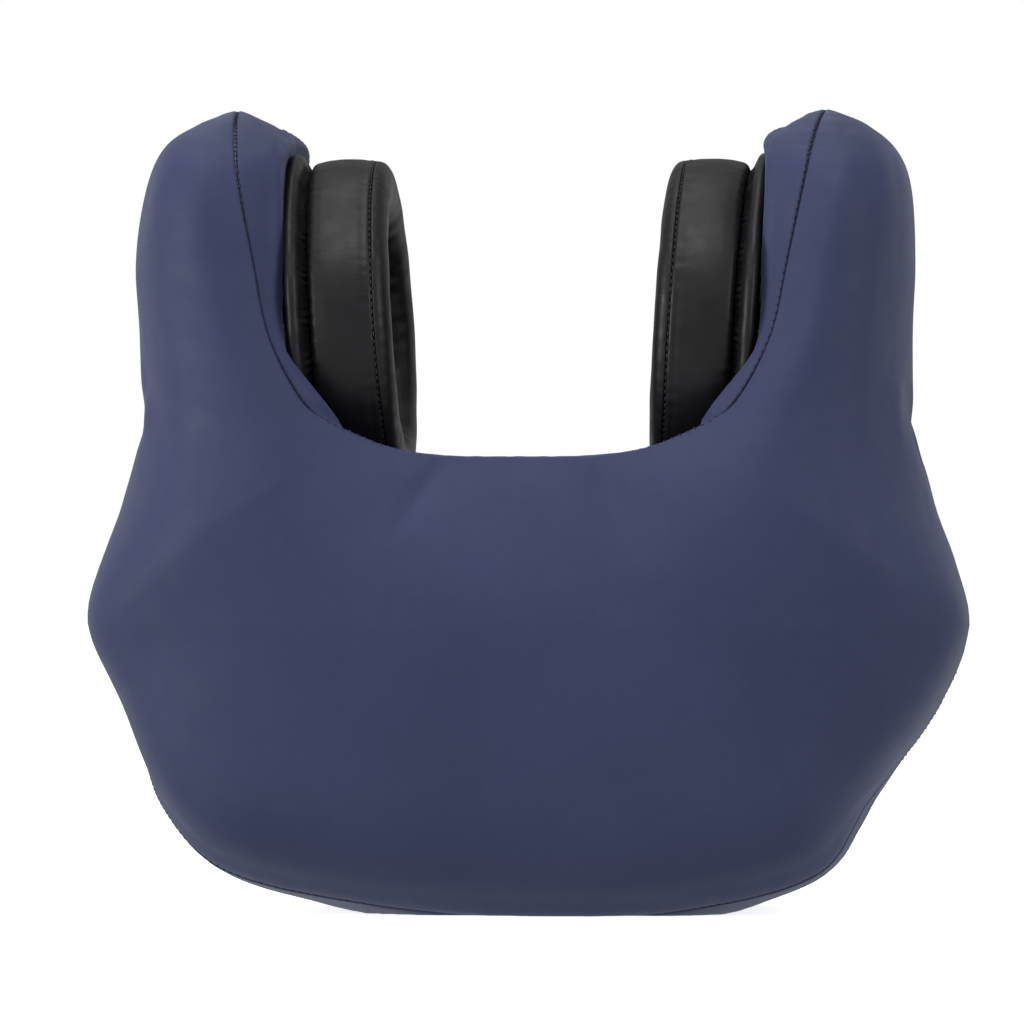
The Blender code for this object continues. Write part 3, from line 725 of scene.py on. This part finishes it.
def fabric_relief(skin):
    """Height in mm of the cover's own relief: seam grooves, puckers and the foam's mould line."""
    away = skin.seam_distance()
    relief = -0.85 * np.exp(-(away / 0.55) ** 2) - 0.30 * np.exp(-(away / 2.4) ** 2)
    line = skin.seam_lines()[0][0]
    along = np.broadcast_to((lengths_along(line) / MM)[:, None], away.shape)
    total = along[-1, 0]
    upper = np.zeros(away.shape, dtype=bool)
    upper[:, :BACK_COLUMNS // 2] = True
    upper[:, BACK_COLUMNS + FRONT_COLUMNS // 2:] = True
    puckers = [(total - 14, 10, 4.3, 13, 0.55), (total - 36, 7, 5.0, 9, 0.5),
               (22, 9, 4.6, 7, 0.20), (96, 16, 5.4, 6, 0.20),
               (total - 100, 16, 5.8, 6, 0.22), (total / 2, 60, 7.0, 5, 0.07)]
    for pucker in puckers:
        relief = relief + np.where(upper, gathers(along, away, *pucker), 0)
    around = np.broadcast_to(skin.stations[:, None] * 9.0, away.shape)
    relief = relief + np.where(upper, 0, gathers(around * 2.2, away, 120, 300, 6.3, 5, 0.10))
    x, _, z = np.moveaxis(skin.points, -1, 0) / MM
    mould_line = 0.16 * np.exp(-((z - MOULD_LINE) / 1.6) ** 2)
    swell_line = 0.12 * np.exp(-((z - MOULD_LINE) / 9.0) ** 2)
    relief = relief + (mould_line + swell_line) * np.clip((away - 6) / 14, 0, 1)
    waves = (np.sin(x / 17 + 1.3 * np.sin(z / 31)) * np.sin(z / 23 + 0.8)
             + 0.5 * np.sin(x / 9.5 + 2.1) * np.sin(z / 12.5 + np.sin(x / 21)))
    return relief + 0.14 * waves * np.clip(away / 12, 0, 1)


def near_ear(points):
    """Distance from an ear's centre line, on the arms' inner faces only."""
    height, across, up = ear_local(points)
    return np.where(np.abs(height) < 1.5 * MM, np.hypot(across, up), 1.0)


def in_zip_slot(points, margin=0.0):
    inside = np.abs(points[..., 0]) < ZIP_SLOT[0] + margin
    inside &= np.abs(points[..., 2] - ZIP_Z) < ZIP_SLOT[1] + margin
    return inside & (points[..., 1] > FRONT_Y - 4 * MM)


def faded(values, rounds):
    """Lowers a grid of values next to its low places, so that none of them ends suddenly."""
    for _ in range(rounds):
        along = np.pad(values, ((1, 1), (0, 0)), mode="edge")
        around = np.roll(values, 1, axis=1) + np.roll(values, -1, axis=1)
        values = np.minimum(values, (along[:-2] + along[2:] + around + 2 * values) / 6)
    return values


def finished_surface(skin):
    """The skin with the padding's swelling and the fabric's relief."""
    points, normals = skin.points, skin.normals
    ear = near_ear(points)
    pressed = np.linalg.norm(points - skin.uncut, axis=-1) > 0.02 * MM
    flat_base = points[..., 2] < 0.4 * MM
    away = skin.seam_distance()
    held = (away < 0.3) | (ear < SEAT_RADIUS) | flat_base | in_zip_slot(points, 4 * MM) | pressed
    held[:2] = True
    held[-2:] = True
    height = swell(points, normals, held, 4, 4, SWELL_START, SWELL_LIMIT, False, True)
    calm = np.clip((ear - SEAT_RADIUS) / (5 * MM), 0, 1)
    calm = calm * np.clip(points[..., 2] / (3 * MM), 0, 1)
    calm = faded(np.where(in_zip_slot(points, 6 * MM) | pressed, 0.0, calm), 4)
    loosened = np.clip(away / 10, 0, 1)
    tip_fade = np.clip(np.minimum(skin.stations, LAST_KEY - skin.stations) / 1.2, 0, 1)[:, None]
    smooth_part = height * loosened * calm * tip_fade
    beside_seam = np.where(pressed, 0.0, np.clip((3.4 - away) / 2.0, 0, 1))
    relief = fabric_relief(skin) * MM * np.maximum(calm, beside_seam)
    return points + normals * (smooth_part + relief * np.clip(tip_fade + 0.25, 0, 1))[..., None]


def build_panel(half, skin, surface, columns, mat):
    """One fabric panel of the cover, with its openings."""
    count = len(columns)
    points = surface[:, columns].reshape(-1, 3)
    tips = skin.tips - skin.tip_normals * TIP_SINK
    along = lengths_along(surface[:, columns[count // 2]])
    across = skin.across[:, columns] * MM
    place = np.stack([np.broadcast_to(along[:, None], across.shape), across], axis=-1)
    place = np.vstack([place.reshape(-1, 2), place[0, count // 2], place[-1, count // 2]])
    item = mesh_object(half + "_panel_jersey", np.vstack([points, tips]),
                       capped_faces(len(surface), count))
    add_uv(item, place)
    face_outwards(item, nearest_on(surface.mean(axis=1)))
    cut_openings(item)
    thicken(item, FABRIC_THICKNESS)
    finish_piece(item, FIRM, mat, ["cover_" + half + "_panel"])


def cut_openings(item):
    """Round openings under the ear pads and the zip's slot, with their edges drawn to shape."""
    bm = bmesh.new()
    bm.from_mesh(item.data)
    gone = []
    for face in bm.faces:
        centre = np.array(face.calc_center_median())
        round_hole = near_ear(centre) < OPENING_RADIUS and abs(face.normal.x) > 0.9
        slot = in_zip_slot(centre) and face.normal.y > 0.9
        if round_hole or slot:
            gone.append(face)
    if gone:
        bmesh.ops.delete(bm, geom=gone, context="FACES")
        for vert in bm.verts:
            if vert.is_boundary:
                draw_to_opening(vert)
    bm.to_mesh(item.data)
    bm.free()


def draw_to_opening(vert):
    point = np.array(vert.co)
    radius = near_ear(point)
    if radius < OPENING_RADIUS + 6 * MM:
        height, across, up = ear_local(point)
        growth = OPENING_RADIUS / radius
        vert.co = Vector(ear_world(side_sign(point), height, across * growth, up * growth))
    elif in_zip_slot(point, 4 * MM):
        over_x = abs(abs(point[0]) - ZIP_SLOT[0])
        over_z = abs(abs(point[2] - ZIP_Z) - ZIP_SLOT[1])
        if over_x < over_z:
            vert.co.x = math.copysign(ZIP_SLOT[0], point[0])
        else:
            vert.co.z = ZIP_Z + math.copysign(ZIP_SLOT[1], point[2] - ZIP_Z)


# ---------------------------------------------------------------- stitches
def stitch_line(name, line, normals, pitch, length, radius, sink, wander, mat, body, seed,
                lean=0.0):
    """Separate stitches of thread laid along a line, each a short bowed strand turned by lean;
    sink is one depth, or one for each point of the line."""
    draws = np.random.default_rng(seed)
    total = lengths_along(line)
    count = int(total[-1] / pitch)
    at = (np.arange(count) + 0.5) * total[-1] / count
    offsets = np.linspace(-0.5, 0.5, 7)
    sides = 6
    angles = angles_round(sides)[:, None]
    tube = grid_faces(len(offsets), sides, wrap_columns=True)
    points, faces = [], []
    for centre in at:
        size = length * draws.uniform(0.88, 1.08)
        turn = draws.normal(lean, wander)
        where = centre + offsets * size * math.cos(turn)
        spine = read_line(line, total, where)
        up = unit(read_line(normals, total, where))
        forward = unit(np.gradient(spine, axis=0))
        side = unit(np.cross(forward, up))
        dip = (2 * offsets) ** 4 * radius * 2.2
        depth = dip + np.interp(where, total, np.broadcast_to(sink, total.shape))
        spine = spine - up * depth[:, None] + side * (np.sin(turn) * offsets * size)[:, None]
        thick = radius * np.sqrt(np.clip(1 - (2 * offsets) ** 6 * 0.85, 0.1, 1))
        first = len(points)
        spokes = np.cos(angles) * side[:, None] + np.sin(angles) * up[:, None]
        points.extend((spine[:, None] + thick[:, None, None] * spokes).reshape(-1, 3))
        faces.extend(tube + first)
        faces.append(tuple(first + step for step in reversed(range(sides))))
        last = first + (len(offsets) - 1) * sides
        faces.append(tuple(last + step for step in range(sides)))
    item = mesh_object(name, points, faces)
    return finish_piece(item, body, mat)


def build_cushion(materials):
    skin = Skin()
    surface = finished_surface(skin)
    for half, columns in zip(("back", "front"),
                             np.split(np.arange(surface.shape[1]), [BACK_COLUMNS])):
        build_panel(half, skin, surface, columns, materials["navy"])
    build_foam_core(skin, materials["memory_foam"])
    for number, (line, normal) in enumerate(skin.seam_lines()):
        name = ("inner_edge_seam_stitches", "outer_edge_seam_stitches")[number]
        sink = (0.36 + 0.7 * np.clip(1.6 - np.abs(line[:, 0]) / SUNK_STITCHES, 0, 1)) * MM
        stitch_line(name, line, normal, 2.6 * MM, 2.1 * MM, 0.24 * MM, sink, 0.22,
                    materials["navy_thread"], FIRM, 11 + number, lean=0.95)


def ear_hollow(sign, radius, bottom, top):
    """Round cutter over an arm's inner face, between two heights."""
    bm = bmesh.new()
    bmesh.ops.create_cone(bm, cap_ends=True, segments=96, radius1=radius, radius2=radius,
                          depth=top - bottom)
    outward = Vector(ear_world(sign, 1.0, 0, 0)) - Vector(ear_world(sign, 0, 0, 0))
    turn = Vector((0, 0, 1)).rotation_difference(outward).to_matrix()
    bmesh.ops.rotate(bm, cent=(0, 0, 0), matrix=turn, verts=bm.verts)
    bmesh.ops.translate(bm, vec=Vector(ear_world(sign, (top + bottom) / 2, 0, 0)), verts=bm.verts)
    mesh = bpy.data.meshes.new("ear_hollow_cutter")
    bm.to_mesh(mesh)
    bm.free()
    return add_object("ear_hollow_cutter", mesh)


def build_foam_core(skin, mat):
    """The moulded foam under the cover, with two round pockets for the ear cups and a shallow
    dent behind the zip."""
    rows = np.arange(2, len(skin.points) - 2, 2)
    columns = np.arange(0, skin.points.shape[1], 2)
    normals = grid_normals(skin.uncut, wrap_columns=True)
    normals *= np.sign(np.sum(normals * skin.normals))
    x, y, z = np.moveaxis(skin.uncut, -1, 0)
    behind_zip = np.clip((ZIP_SLOT[0] + 20 * MM - np.abs(x)) / (12 * MM), 0, 1) * (y > 0)
    behind_zip = behind_zip * np.exp(-((z - ZIP_Z) / (14 * MM)) ** 4)
    deeper = (FOAM_DEPTH + FOAM_DENT * behind_zip)[..., None]
    grid = clear_ear_pads((skin.uncut - normals * deeper)[np.ix_(rows, columns)], FOAM_SPARE)
    ends = np.array([grid[0].mean(axis=0), grid[-1].mean(axis=0)])
    item = mesh_object("memory_foam_block", np.vstack([grid.reshape(-1, 3), ends]),
                       capped_faces(len(rows), len(columns), wrap_columns=True))
    bm = bmesh.new()
    bm.from_mesh(item.data)
    bmesh.ops.recalc_face_normals(bm, faces=bm.faces)
    bm.to_mesh(item.data)
    bm.free()
    cutters = [ear_hollow(sign, POCKET_RADIUS, -POCKET_DEPTH, 10 * MM) for _, sign in SIDES]
    for cutter in cutters:
        modifier = item.modifiers.new("pocket", "BOOLEAN")
        modifier.operation = "DIFFERENCE"
        modifier.object = cutter
    apply_modifiers(item)
    for cutter in cutters:
        bpy.data.objects.remove(cutter, do_unlink=True)
    item.data.set_sharp_from_angle(angle=math.radians(50))
    return finish_piece(item, FIRM, mat, ["foam_core"])


# ---------------------------------------------------------------- ear units
# Turned profiles, each point its radius and its height above the arm's inner face
BAND_PROFILE = [(50.2, 7.4), (52.4, 7.0), (54.0, 8.2), (54.9, 11), (55.4, 16), (55.2, 21),
                (54.7, 25), (54.1, 27.0), (53.3, 27.75)]
FACE_PROFILE = [(53.3, 27.95), (54.0, 28.4), (53.9, 29.6), (52.4, 31.6), (49.4, 33.0), (45.8, 33.5),
                (42.1, 33.1), (39.4, 31.8), (37.7, 29.3), (36.8, 25.6), (36.1, 20), (35.7, 14),
                (36.3, 10.2), (38.6, 8.8)]
GAITER_PROFILE = [(49.0, -0.9), (50.2, -0.3), (53.5, 0.35), (56.4, 0.5), (57.5, 1.5), (57.6, 2.7),
                  (56.9, 3.9), (55.2, 4.8), (53.4, 5.4), (52.2, 6.0), (51.4, 6.7), (50.6, 7.3),
                  (48.8, 7.5), (46.8, 7.0)]
FOAM_RING_PROFILE = [(50.6, 9.6), (53.0, 12), (53.6, 18), (53.0, 25), (51.6, 28.6), (48.6, 30.9),
                     (45.4, 31.4), (42.2, 31.0), (39.8, 29.2), (38.6, 24), (38.1, 17), (38.4, 11),
                     (40.5, 9.4)]
SUSPENSION_PROFILE = [(37, -8.6), (37, 1), (37.6, 4.2), (40, 4.6), (42.2, 4.2), (42.6, 1),
                      (42.6, -8.6), (40, -9)]
PAD_SEAM = (53.75 * MM, 27.8 * MM)              # radius and height of the pad's stitched seam
LEATHER_THICKNESS = 0.8 * MM
GAITER_THICKNESS = 0.7 * MM
MESH_THICKNESS = 0.4 * MM
GAITER_COLUMNS = 34
FOAM_COLUMNS = 40
MESH_SEGMENTS, MESH_RINGS = 192, 24


def profile_curve(profile, count, closed=False):
    """Points of a smooth turned profile, (radius, height above the arm's face) in metres."""
    points = np.array(profile + profile[:1] if closed else profile, dtype=float) * MM
    chord = lengths_along(points)
    dense = curve_through(chord, points, np.linspace(0, chord[-1], 800))
    length = lengths_along(dense)
    wanted = np.linspace(0, length[-1], count, endpoint=not closed)
    return read_line(dense, length, wanted)


def turned_grid(sign, profile, segments):
    """Grid of points of a turned shape on one arm's inner face; rows run round it."""
    angle = angles_round(segments)[:, None]
    radius, height = profile.T
    return ear_world(sign, height, np.cos(angle) * radius, np.sin(angle) * radius)


def ring_core(sign, radius, height):
    """Gives the point of a ring's core circle that is nearest to a point."""
    def inside(centre):
        _, across, up = ear_local(np.array(centre))
        size = math.hypot(across, up)
        return ear_world(sign, height * MM, across / size * radius * MM, up / size * radius * MM)
    return inside


def outward_normals(grid, inside):
    normals = grid_normals(grid, wrap_rows=True)
    middle = grid[0, grid.shape[1] // 2]
    if normals[0, grid.shape[1] // 2] @ (middle - np.array(inside(middle))) < 0:
        normals = -normals
    return normals


def creases(angle, seed, counts, height):
    """Irregular height round a ring, from a few waves with random phases."""
    draws = np.random.default_rng(seed)
    total = np.zeros_like(angle)
    for count in counts:
        strength = 0.55 + 0.45 * np.sin(angle * draws.integers(2, 7) + draws.uniform(0, 6.28))
        total += strength * np.sin(angle * count + draws.uniform(0, 6.28)) / len(counts)
    return total * height


def build_leather(name, sign, profile, core, pinned, relief, columns, mat, body, replaced):
    """A sewn leather panel of an ear pad, swollen by its padding."""
    grid = turned_grid(sign, profile_curve(profile, columns), PAD_SEGMENTS)
    inside = ring_core(sign, *core)
    normals = outward_normals(grid, inside)
    held = np.zeros(grid.shape[:2], dtype=bool)
    held[:, :pinned[0]] = True
    held[:, -pinned[1]:] = True
    height = swell(grid, normals, held, 3, 2, 0.5 * MM, 0.9 * MM, True, False)
    folds = relief(angles_round(PAD_SEGMENTS)[:, None], np.linspace(0, 1, columns)[None, :])
    item = grid_object(name, grid + normals * (height + folds * MM)[..., None])
    face_outwards(item, inside)
    thicken(item, LEATHER_THICKNESS)
    return finish_piece(item, body, mat, replaced)


def band_relief(seed):
    def relief(angle, share):
        near_groove = np.exp(-(share / 0.28) ** 2) * np.clip(share / 0.06, 0, 1)
        near_seam = np.exp(-((1 - share) / 0.20) ** 2) * np.clip((1 - share) / 0.05, 0, 1)
        groove = creases(angle, seed, (61, 83, 109), 0.55) * near_groove
        seam = creases(angle, seed + 1, (47, 71, 97), 0.38) * near_seam
        slack = creases(angle + 0.15 * share, seed + 2, (3, 7, 11), 0.35) * np.sin(math.pi * share)
        return groove + seam + slack
    return relief


def face_relief(seed):
    def relief(angle, share):
        near_seam = np.exp(-(share / 0.12) ** 2) * np.clip(share / 0.03, 0, 1)
        seam = creases(angle, seed, (47, 71, 97), 0.40) * near_seam
        wall = np.exp(-((share - 0.62) / 0.16) ** 2)
        folds = creases(angle + 0.1 * share, seed + 1, (19, 31, 43), 0.75) * wall
        slack = creases(angle, seed + 2, (4, 9, 14), 0.40) * np.exp(-((share - 0.35) / 0.2) ** 2)
        return seam + folds + slack
    return relief


def build_gaiter(side, sign, mat):
    """Padded leather flange between arm and pad, gathered into the groove."""
    grid = turned_grid(sign, profile_curve(GAITER_PROFILE, GAITER_COLUMNS), GAITER_SEGMENTS)
    inside = ring_core(sign, 51, 2.5)
    normals = outward_normals(grid, inside)
    angle = angles_round(GAITER_SEGMENTS)[:, None]
    share = np.linspace(0, 1, GAITER_COLUMNS)[None, :]
    seed = 31 if side == "left" else 47
    wander = creases(angle, seed, (5, 9, 13), 0.5)
    window = np.exp(-((share - 0.76) / 0.12) ** 2)
    scallops = np.abs(np.sin(angle * 62 + 3 * wander)) * (0.55 + 0.45 * np.sin(angle * 23 + seed))
    lumps = creases(angle, seed + 1, (17, 29, 41), 0.5) * np.exp(-((share - 0.5) / 0.22) ** 2)
    height = (1.1 * scallops * window - 0.6 * window + lumps * 0.6) * MM
    item = grid_object(side + "_gaiter_leather", grid + normals * height[..., None])
    face_outwards(item, inside)
    thicken(item, GAITER_THICKNESS)
    tuple(ear_world(sign, 0, 0, 0))
    tuple(ear_world(sign, 6.8 * MM, 0, 0))
    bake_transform(item)
    return finish_piece(item, None, mat, [side + "_gaiter"])


def build_turned_foam(name, sign, profile, segments, body, mat, replaced):
    """A foam ring with a closed profile; it rides on body, if there is one."""
    section = profile_curve(profile, FOAM_COLUMNS, closed=True)
    item = grid_object(name, turned_grid(sign, section, segments), wrap_columns=True)
    face_outwards(item, ring_core(sign, *np.mean(profile, axis=0)))
    return finish_piece(item, body, mat, [replaced])


def build_acoustic_cloth(side, sign, mat, body):
    """Thin mesh cloth across the ear hole, drawn in with small pleats at its rim."""
    rings = np.linspace(0, 1, MESH_RINGS)
    angle = angles_round(MESH_SEGMENTS)[:, None]
    radius = (0.6 + rings * 34.4) * MM
    seed = 5 if side == "left" else 6
    height = 9.5 + 0.5 * (1 - rings**2) + creases(angle, seed, (37, 53), 0.22) * rings**4
    grid = ear_world(sign, height * MM, np.cos(angle) * radius, np.sin(angle) * radius)
    faces = [tuple(face) for face in grid_faces(MESH_SEGMENTS, MESH_RINGS, wrap_rows=True)]
    faces.append(tuple(row * MESH_RINGS for row in range(MESH_SEGMENTS)))
    item = mesh_object(side + "_acoustic_mesh_cloth", grid.reshape(-1, 3), faces)
    face_outwards(item, lambda centre: ear_world(sign, 0, *ear_local(np.array(centre))[1:]))
    thicken(item, MESH_THICKNESS)
    return finish_piece(item, body, mat, [side + "_acoustic_mesh"])


def build_ear_unit(side, sign, materials):
    body = side + "_ear_pad"
    seed = 3 if side == "left" else 19
    leather = materials["leather"]
    build_leather(side + "_pad_band_leather", sign, BAND_PROFILE, (46, 20), (2, 2),
                  band_relief(seed), 34, leather, body, [side + "_pad_band"])
    build_leather(side + "_pad_face_leather", sign, FACE_PROFILE, (45, 22), (2, 4),
                  face_relief(seed + 7), 64, leather, body, [side + "_pad_face"])
    angle = np.linspace(0, 2 * math.pi, 361)
    radius, height = PAD_SEAM
    ring = ear_world(sign, height, np.cos(angle) * radius, np.sin(angle) * radius)
    outwards = ring - ear_world(sign, 9 * MM, 0, 0)
    stitch_line(side + "_pad_seam_stitches", ring, unit(outwards), 2.4 * MM, 1.8 * MM, 0.19 * MM,
                0.1 * MM, 0.1, materials["black_thread"], body, seed + 20)
    build_gaiter(side, sign, leather)
    build_turned_foam(side + "_pad_foam_ring", sign, FOAM_RING_PROFILE, 96, body,
                      materials["dark_foam"], side + "_pad_foam")
    suspension = build_turned_foam(side + "_suspension_foam", sign, SUSPENSION_PROFILE, 72, None,
                                   materials["dark_foam"], side + "_suspension_ring")
    tuple(ear_world(sign, -9 * MM, 0, 0))
    tuple(ear_world(sign, 4.5 * MM, 0, 0))
    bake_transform(suspension)
    build_acoustic_cloth(side, sign, materials["mesh"], body)


# ---------------------------------------------------------------- zip
def build_coil(half, way, mat):
    """One side of the coil zip: a nylon wire wound round the chain's middle line."""
    points = []
    for step in range(COIL_TURNS * 10 + 1):
        turn = step / 10
        phase = 2 * math.pi * turn
        x = (turn - COIL_TURNS / 2 + 0.25 * way) * COIL_PITCH
        reach = 1.15 - 1.45 * math.cos(phase)
        points.append((x, 0.12 + 0.62 * math.sin(phase), way * reach))
    name = "zip_%s_coil" % half
    curve = bpy.data.curves.new(name, "CURVE")
    curve.dimensions = "3D"
    curve.bevel_depth = COIL_WIRE
    curve.bevel_resolution = 1
    curve.use_fill_caps = True
    spline = curve.splines.new("POLY")
    spline.points.add(len(points) - 1)
    for target, (x, y, z) in zip(spline.points, points):
        target.co = (x * MM, FRONT_Y + y * MM, ZIP_Z + z * MM, 1)
    item = add_object(name, curve)
    mesh = evaluated_mesh(item)
    bpy.data.objects.remove(item, do_unlink=True)
    mesh.shade_smooth()
    finish_piece(add_object(name, mesh), FIRM, mat, ["zip_%s_teeth" % half])


def rectangle_line(margin, height, corner, count):
    """Closed line round the zip's slot, margin outside it, with round corners."""
    half_x, half_z = ZIP_SLOT[0] + margin, ZIP_SLOT[1] + margin
    points = []
    for middle, start in (((1, 1), 0), ((-1, 1), 90), ((-1, -1), 180), ((1, -1), 270)):
        for degrees in range(start, start + 91, 15):
            turn = math.radians(degrees)
            x = middle[0] * (half_x - corner) + corner * math.cos(turn)
            z = middle[1] * (half_z - corner) + corner * math.sin(turn)
            points.append((x, FRONT_Y + height, ZIP_Z + z))
    points = np.array(points + points[:1])
    length = lengths_along(points)
    return read_line(points, length, np.linspace(0, length[-1], count, endpoint=False))


def build_zip_surround(materials):
    """Folded edge of the cover round the zip, and its row of stitches."""
    line = rectangle_line(0.2 * MM, 0, 2 * MM, FOLD_POINTS)
    tangent = unit(np.roll(line, -1, axis=0) - np.roll(line, 1, axis=0))
    outward = unit(np.cross((0, 1.0, 0), tangent))
    if outward[0] @ (line[0] - line.mean(axis=0)) < 0:
        outward = -outward
    rows = []
    drawn = np.append(np.random.default_rng(9).normal(0, 0.07, FOLD_POINTS // 12), 0)
    wobble = np.interp(np.arange(FOLD_POINTS), np.arange(0, FOLD_POINTS + 1, 12), drawn)
    for across, up in FOLD_PROFILE:
        rise = (up + wobble * (up > 0))[:, None] * MM
        rows.append(line + outward * across * MM + np.array((0, 1.0, 0)) * rise)
    item = grid_object("zip_surround_fold", np.stack(rows, axis=1), wrap_columns=True)
    face_outwards(item, nearest_on(line - np.array((0, 0.1 * MM, 0))))
    softened = item.modifiers.new("soft", "SUBSURF")
    softened.levels = 1
    softened.render_levels = 1
    apply_modifiers(item)
    finish_piece(item, FIRM, materials["navy"])
    closed = rectangle_line(1.9 * MM, 0.62 * MM, 3 * MM, STITCHED_POINTS)
    closed = np.vstack([closed, closed[:1]])
    up = np.broadcast_to((0, 1.0, 0), closed.shape)
    stitch_line("zip_surround_stitches", closed, up, 2.6 * MM, 2.0 * MM, 0.22 * MM, 0.02 * MM, 0.08,
                materials["navy_thread"], FIRM, 21)


def build_zip(materials):
    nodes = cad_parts
    for half, way in (("upper", 1), ("lower", -1)):
        build_coil(half, way, materials["coil"])
        dress(nodes["zip_%s_tape" % half], materials["tape"])
    build_zip_surround(materials)
    for name in ("zip_left_end_stop", "zip_right_end_stop", "zip_slider", "zip_pull"):
        dress(nodes[name], materials["metal"])
        soften = nodes[name].modifiers.new("worn_edges", "BEVEL")
        soften.width = 0.18 * MM
        soften.segments = 2
        soften.angle_limit = math.radians(40)


# ---------------------------------------------------------------- studio
FLOOR_REACH = 20
CAMERA_DISTANCE, CAMERA_HEIGHT = 3.0, 0.1275
CAMERA_AZIMUTH = 3.9                            # degrees round from straight behind the cushion
CAMERA_LENS = 325                               # mm, on a 36 mm sensor
CAMERA_SHIFT = (-0.0190, 0.0055)
SHADE_BELOW, SHADE_ABOVE = 0.70, 0.36           # of the surroundings, which the camera sees white
LIGHT_TARGET = Vector((0, 0, 0.13))
SOFTBOXES = {                                   # place, width and height, power
    "key_softbox": ((-1.7, -0.9, 0.4), (0.8, 0.8), 25),
    "fill_softbox": ((1.6, -0.9, 0.8), (0.8, 1.0), 13),
    "front_softbox": ((-0.2, -1.0, 1.9), (1.2, 0.7), 17),
    "top_softbox": ((-0.2, 0.1, 1.6), (1.2, 0.8), 6),
}


def area_light(name, location, size, power):
    data = bpy.data.lights.new(name, "AREA")
    data.shape = "RECTANGLE"
    data.size, data.size_y = size
    data.energy = power
    item = add_object(name, data)
    item.location = location
    item.rotation_euler = (LIGHT_TARGET - item.location).to_track_quat("-Z", "Y").to_euler()


def build_studio():
    """Pale floor, white surroundings, soft lights and the camera."""
    reach = FLOOR_REACH
    corners = [(-reach, -reach, 0), (reach, -reach, 0), (reach, reach, 0), (-reach, reach, 0)]
    floor = mesh_object("studio_floor", corners, [(0, 1, 2, 3)])
    paper = Nodes("studio_paper")
    paper.mottle(0.4, 2, (0.93, 0.93, 0.93), (0.95, 0.95, 0.95))
    paper.surface(Roughness=0.9, Specular_IOR_Level=0.1, Emission_Color=(1, 1, 1, 1),
                  Emission_Strength=0.8)
    floor.data.materials.append(paper.owner)
    floor.visible_diffuse = False
    floor.visible_glossy = False

    world = Nodes("studio_world", "worlds")
    axes = world.add("SeparateXYZ")
    world.link(world.add("TexCoord").outputs["Generated"], axes.inputs["Vector"])
    shade = world.ramp(axes.outputs["Z"], -0.3, 0.3, SHADE_BELOW, SHADE_ABOVE)
    backdrop = world.add("Mix", data_type="RGBA")
    world.link(world.add("LightPath").outputs["Is Camera Ray"], backdrop.inputs[0])
    world.link(shade, backdrop.inputs[6])
    backdrop.inputs[7].default_value = (1, 1, 1, 1)
    world.link(backdrop.outputs[2], world.tree.nodes["Background"].inputs["Color"])
    bpy.context.scene.world = world.owner

    for name, (place, size, power) in SOFTBOXES.items():
        area_light(name, place, size, power)

    data = bpy.data.cameras.new("camera")
    camera = add_object("camera", data)
    azimuth = math.radians(CAMERA_AZIMUTH)
    camera.location = (CAMERA_DISTANCE * math.sin(azimuth), -CAMERA_DISTANCE * math.cos(azimuth),
                       CAMERA_HEIGHT)
    camera.rotation_euler = (math.radians(90), 0, azimuth)
    data.sensor_width = 36
    data.lens = CAMERA_LENS
    data.shift_x, data.shift_y = CAMERA_SHIFT
    bpy.context.scene.camera = camera
    bpy.context.scene.view_settings.view_transform = "Standard"


# ---------------------------------------------------------------- whole object
def build_all():
    build_studio()
    materials = {
        "navy": navy_fabric(),
        "leather": leatherette(),
        "navy_thread": sewing_thread("navy_sewing_thread",
                                     (0.006, 0.008, 0.026), (0.012, 0.015, 0.042)),
        "black_thread": sewing_thread("black_sewing_thread",
                                      (0.010, 0.010, 0.011), (0.022, 0.022, 0.024)),
        "memory_foam": foam("memory_foam_pores",
                            (0.62, 0.58, 0.46), (0.78, 0.75, 0.64), 1.4 * MM),
        "dark_foam": foam("dark_foam_pores",
                          (0.030, 0.030, 0.033), (0.07, 0.07, 0.075), 1.0 * MM),
        "plastic": moulded_plastic(),
        "mesh": mesh_cloth(),
        "tape": zip_tape(),
        "coil": coil_plastic(),
        "metal": dark_metal(),
    }
    build_cushion(materials)
    for side, sign in SIDES:
        build_ear_unit(side, sign, materials)
        for part, mat, slot in (("ear_cup_shell", "plastic", "cup_plastic"),
                                ("pad_base_ring", "plastic", "cup_plastic"),
                                ("acoustic_foam", "dark_foam", "dark_foam")):
            dress(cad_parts[side + "_" + part], materials[mat])
    build_zip(materials)


build_all()
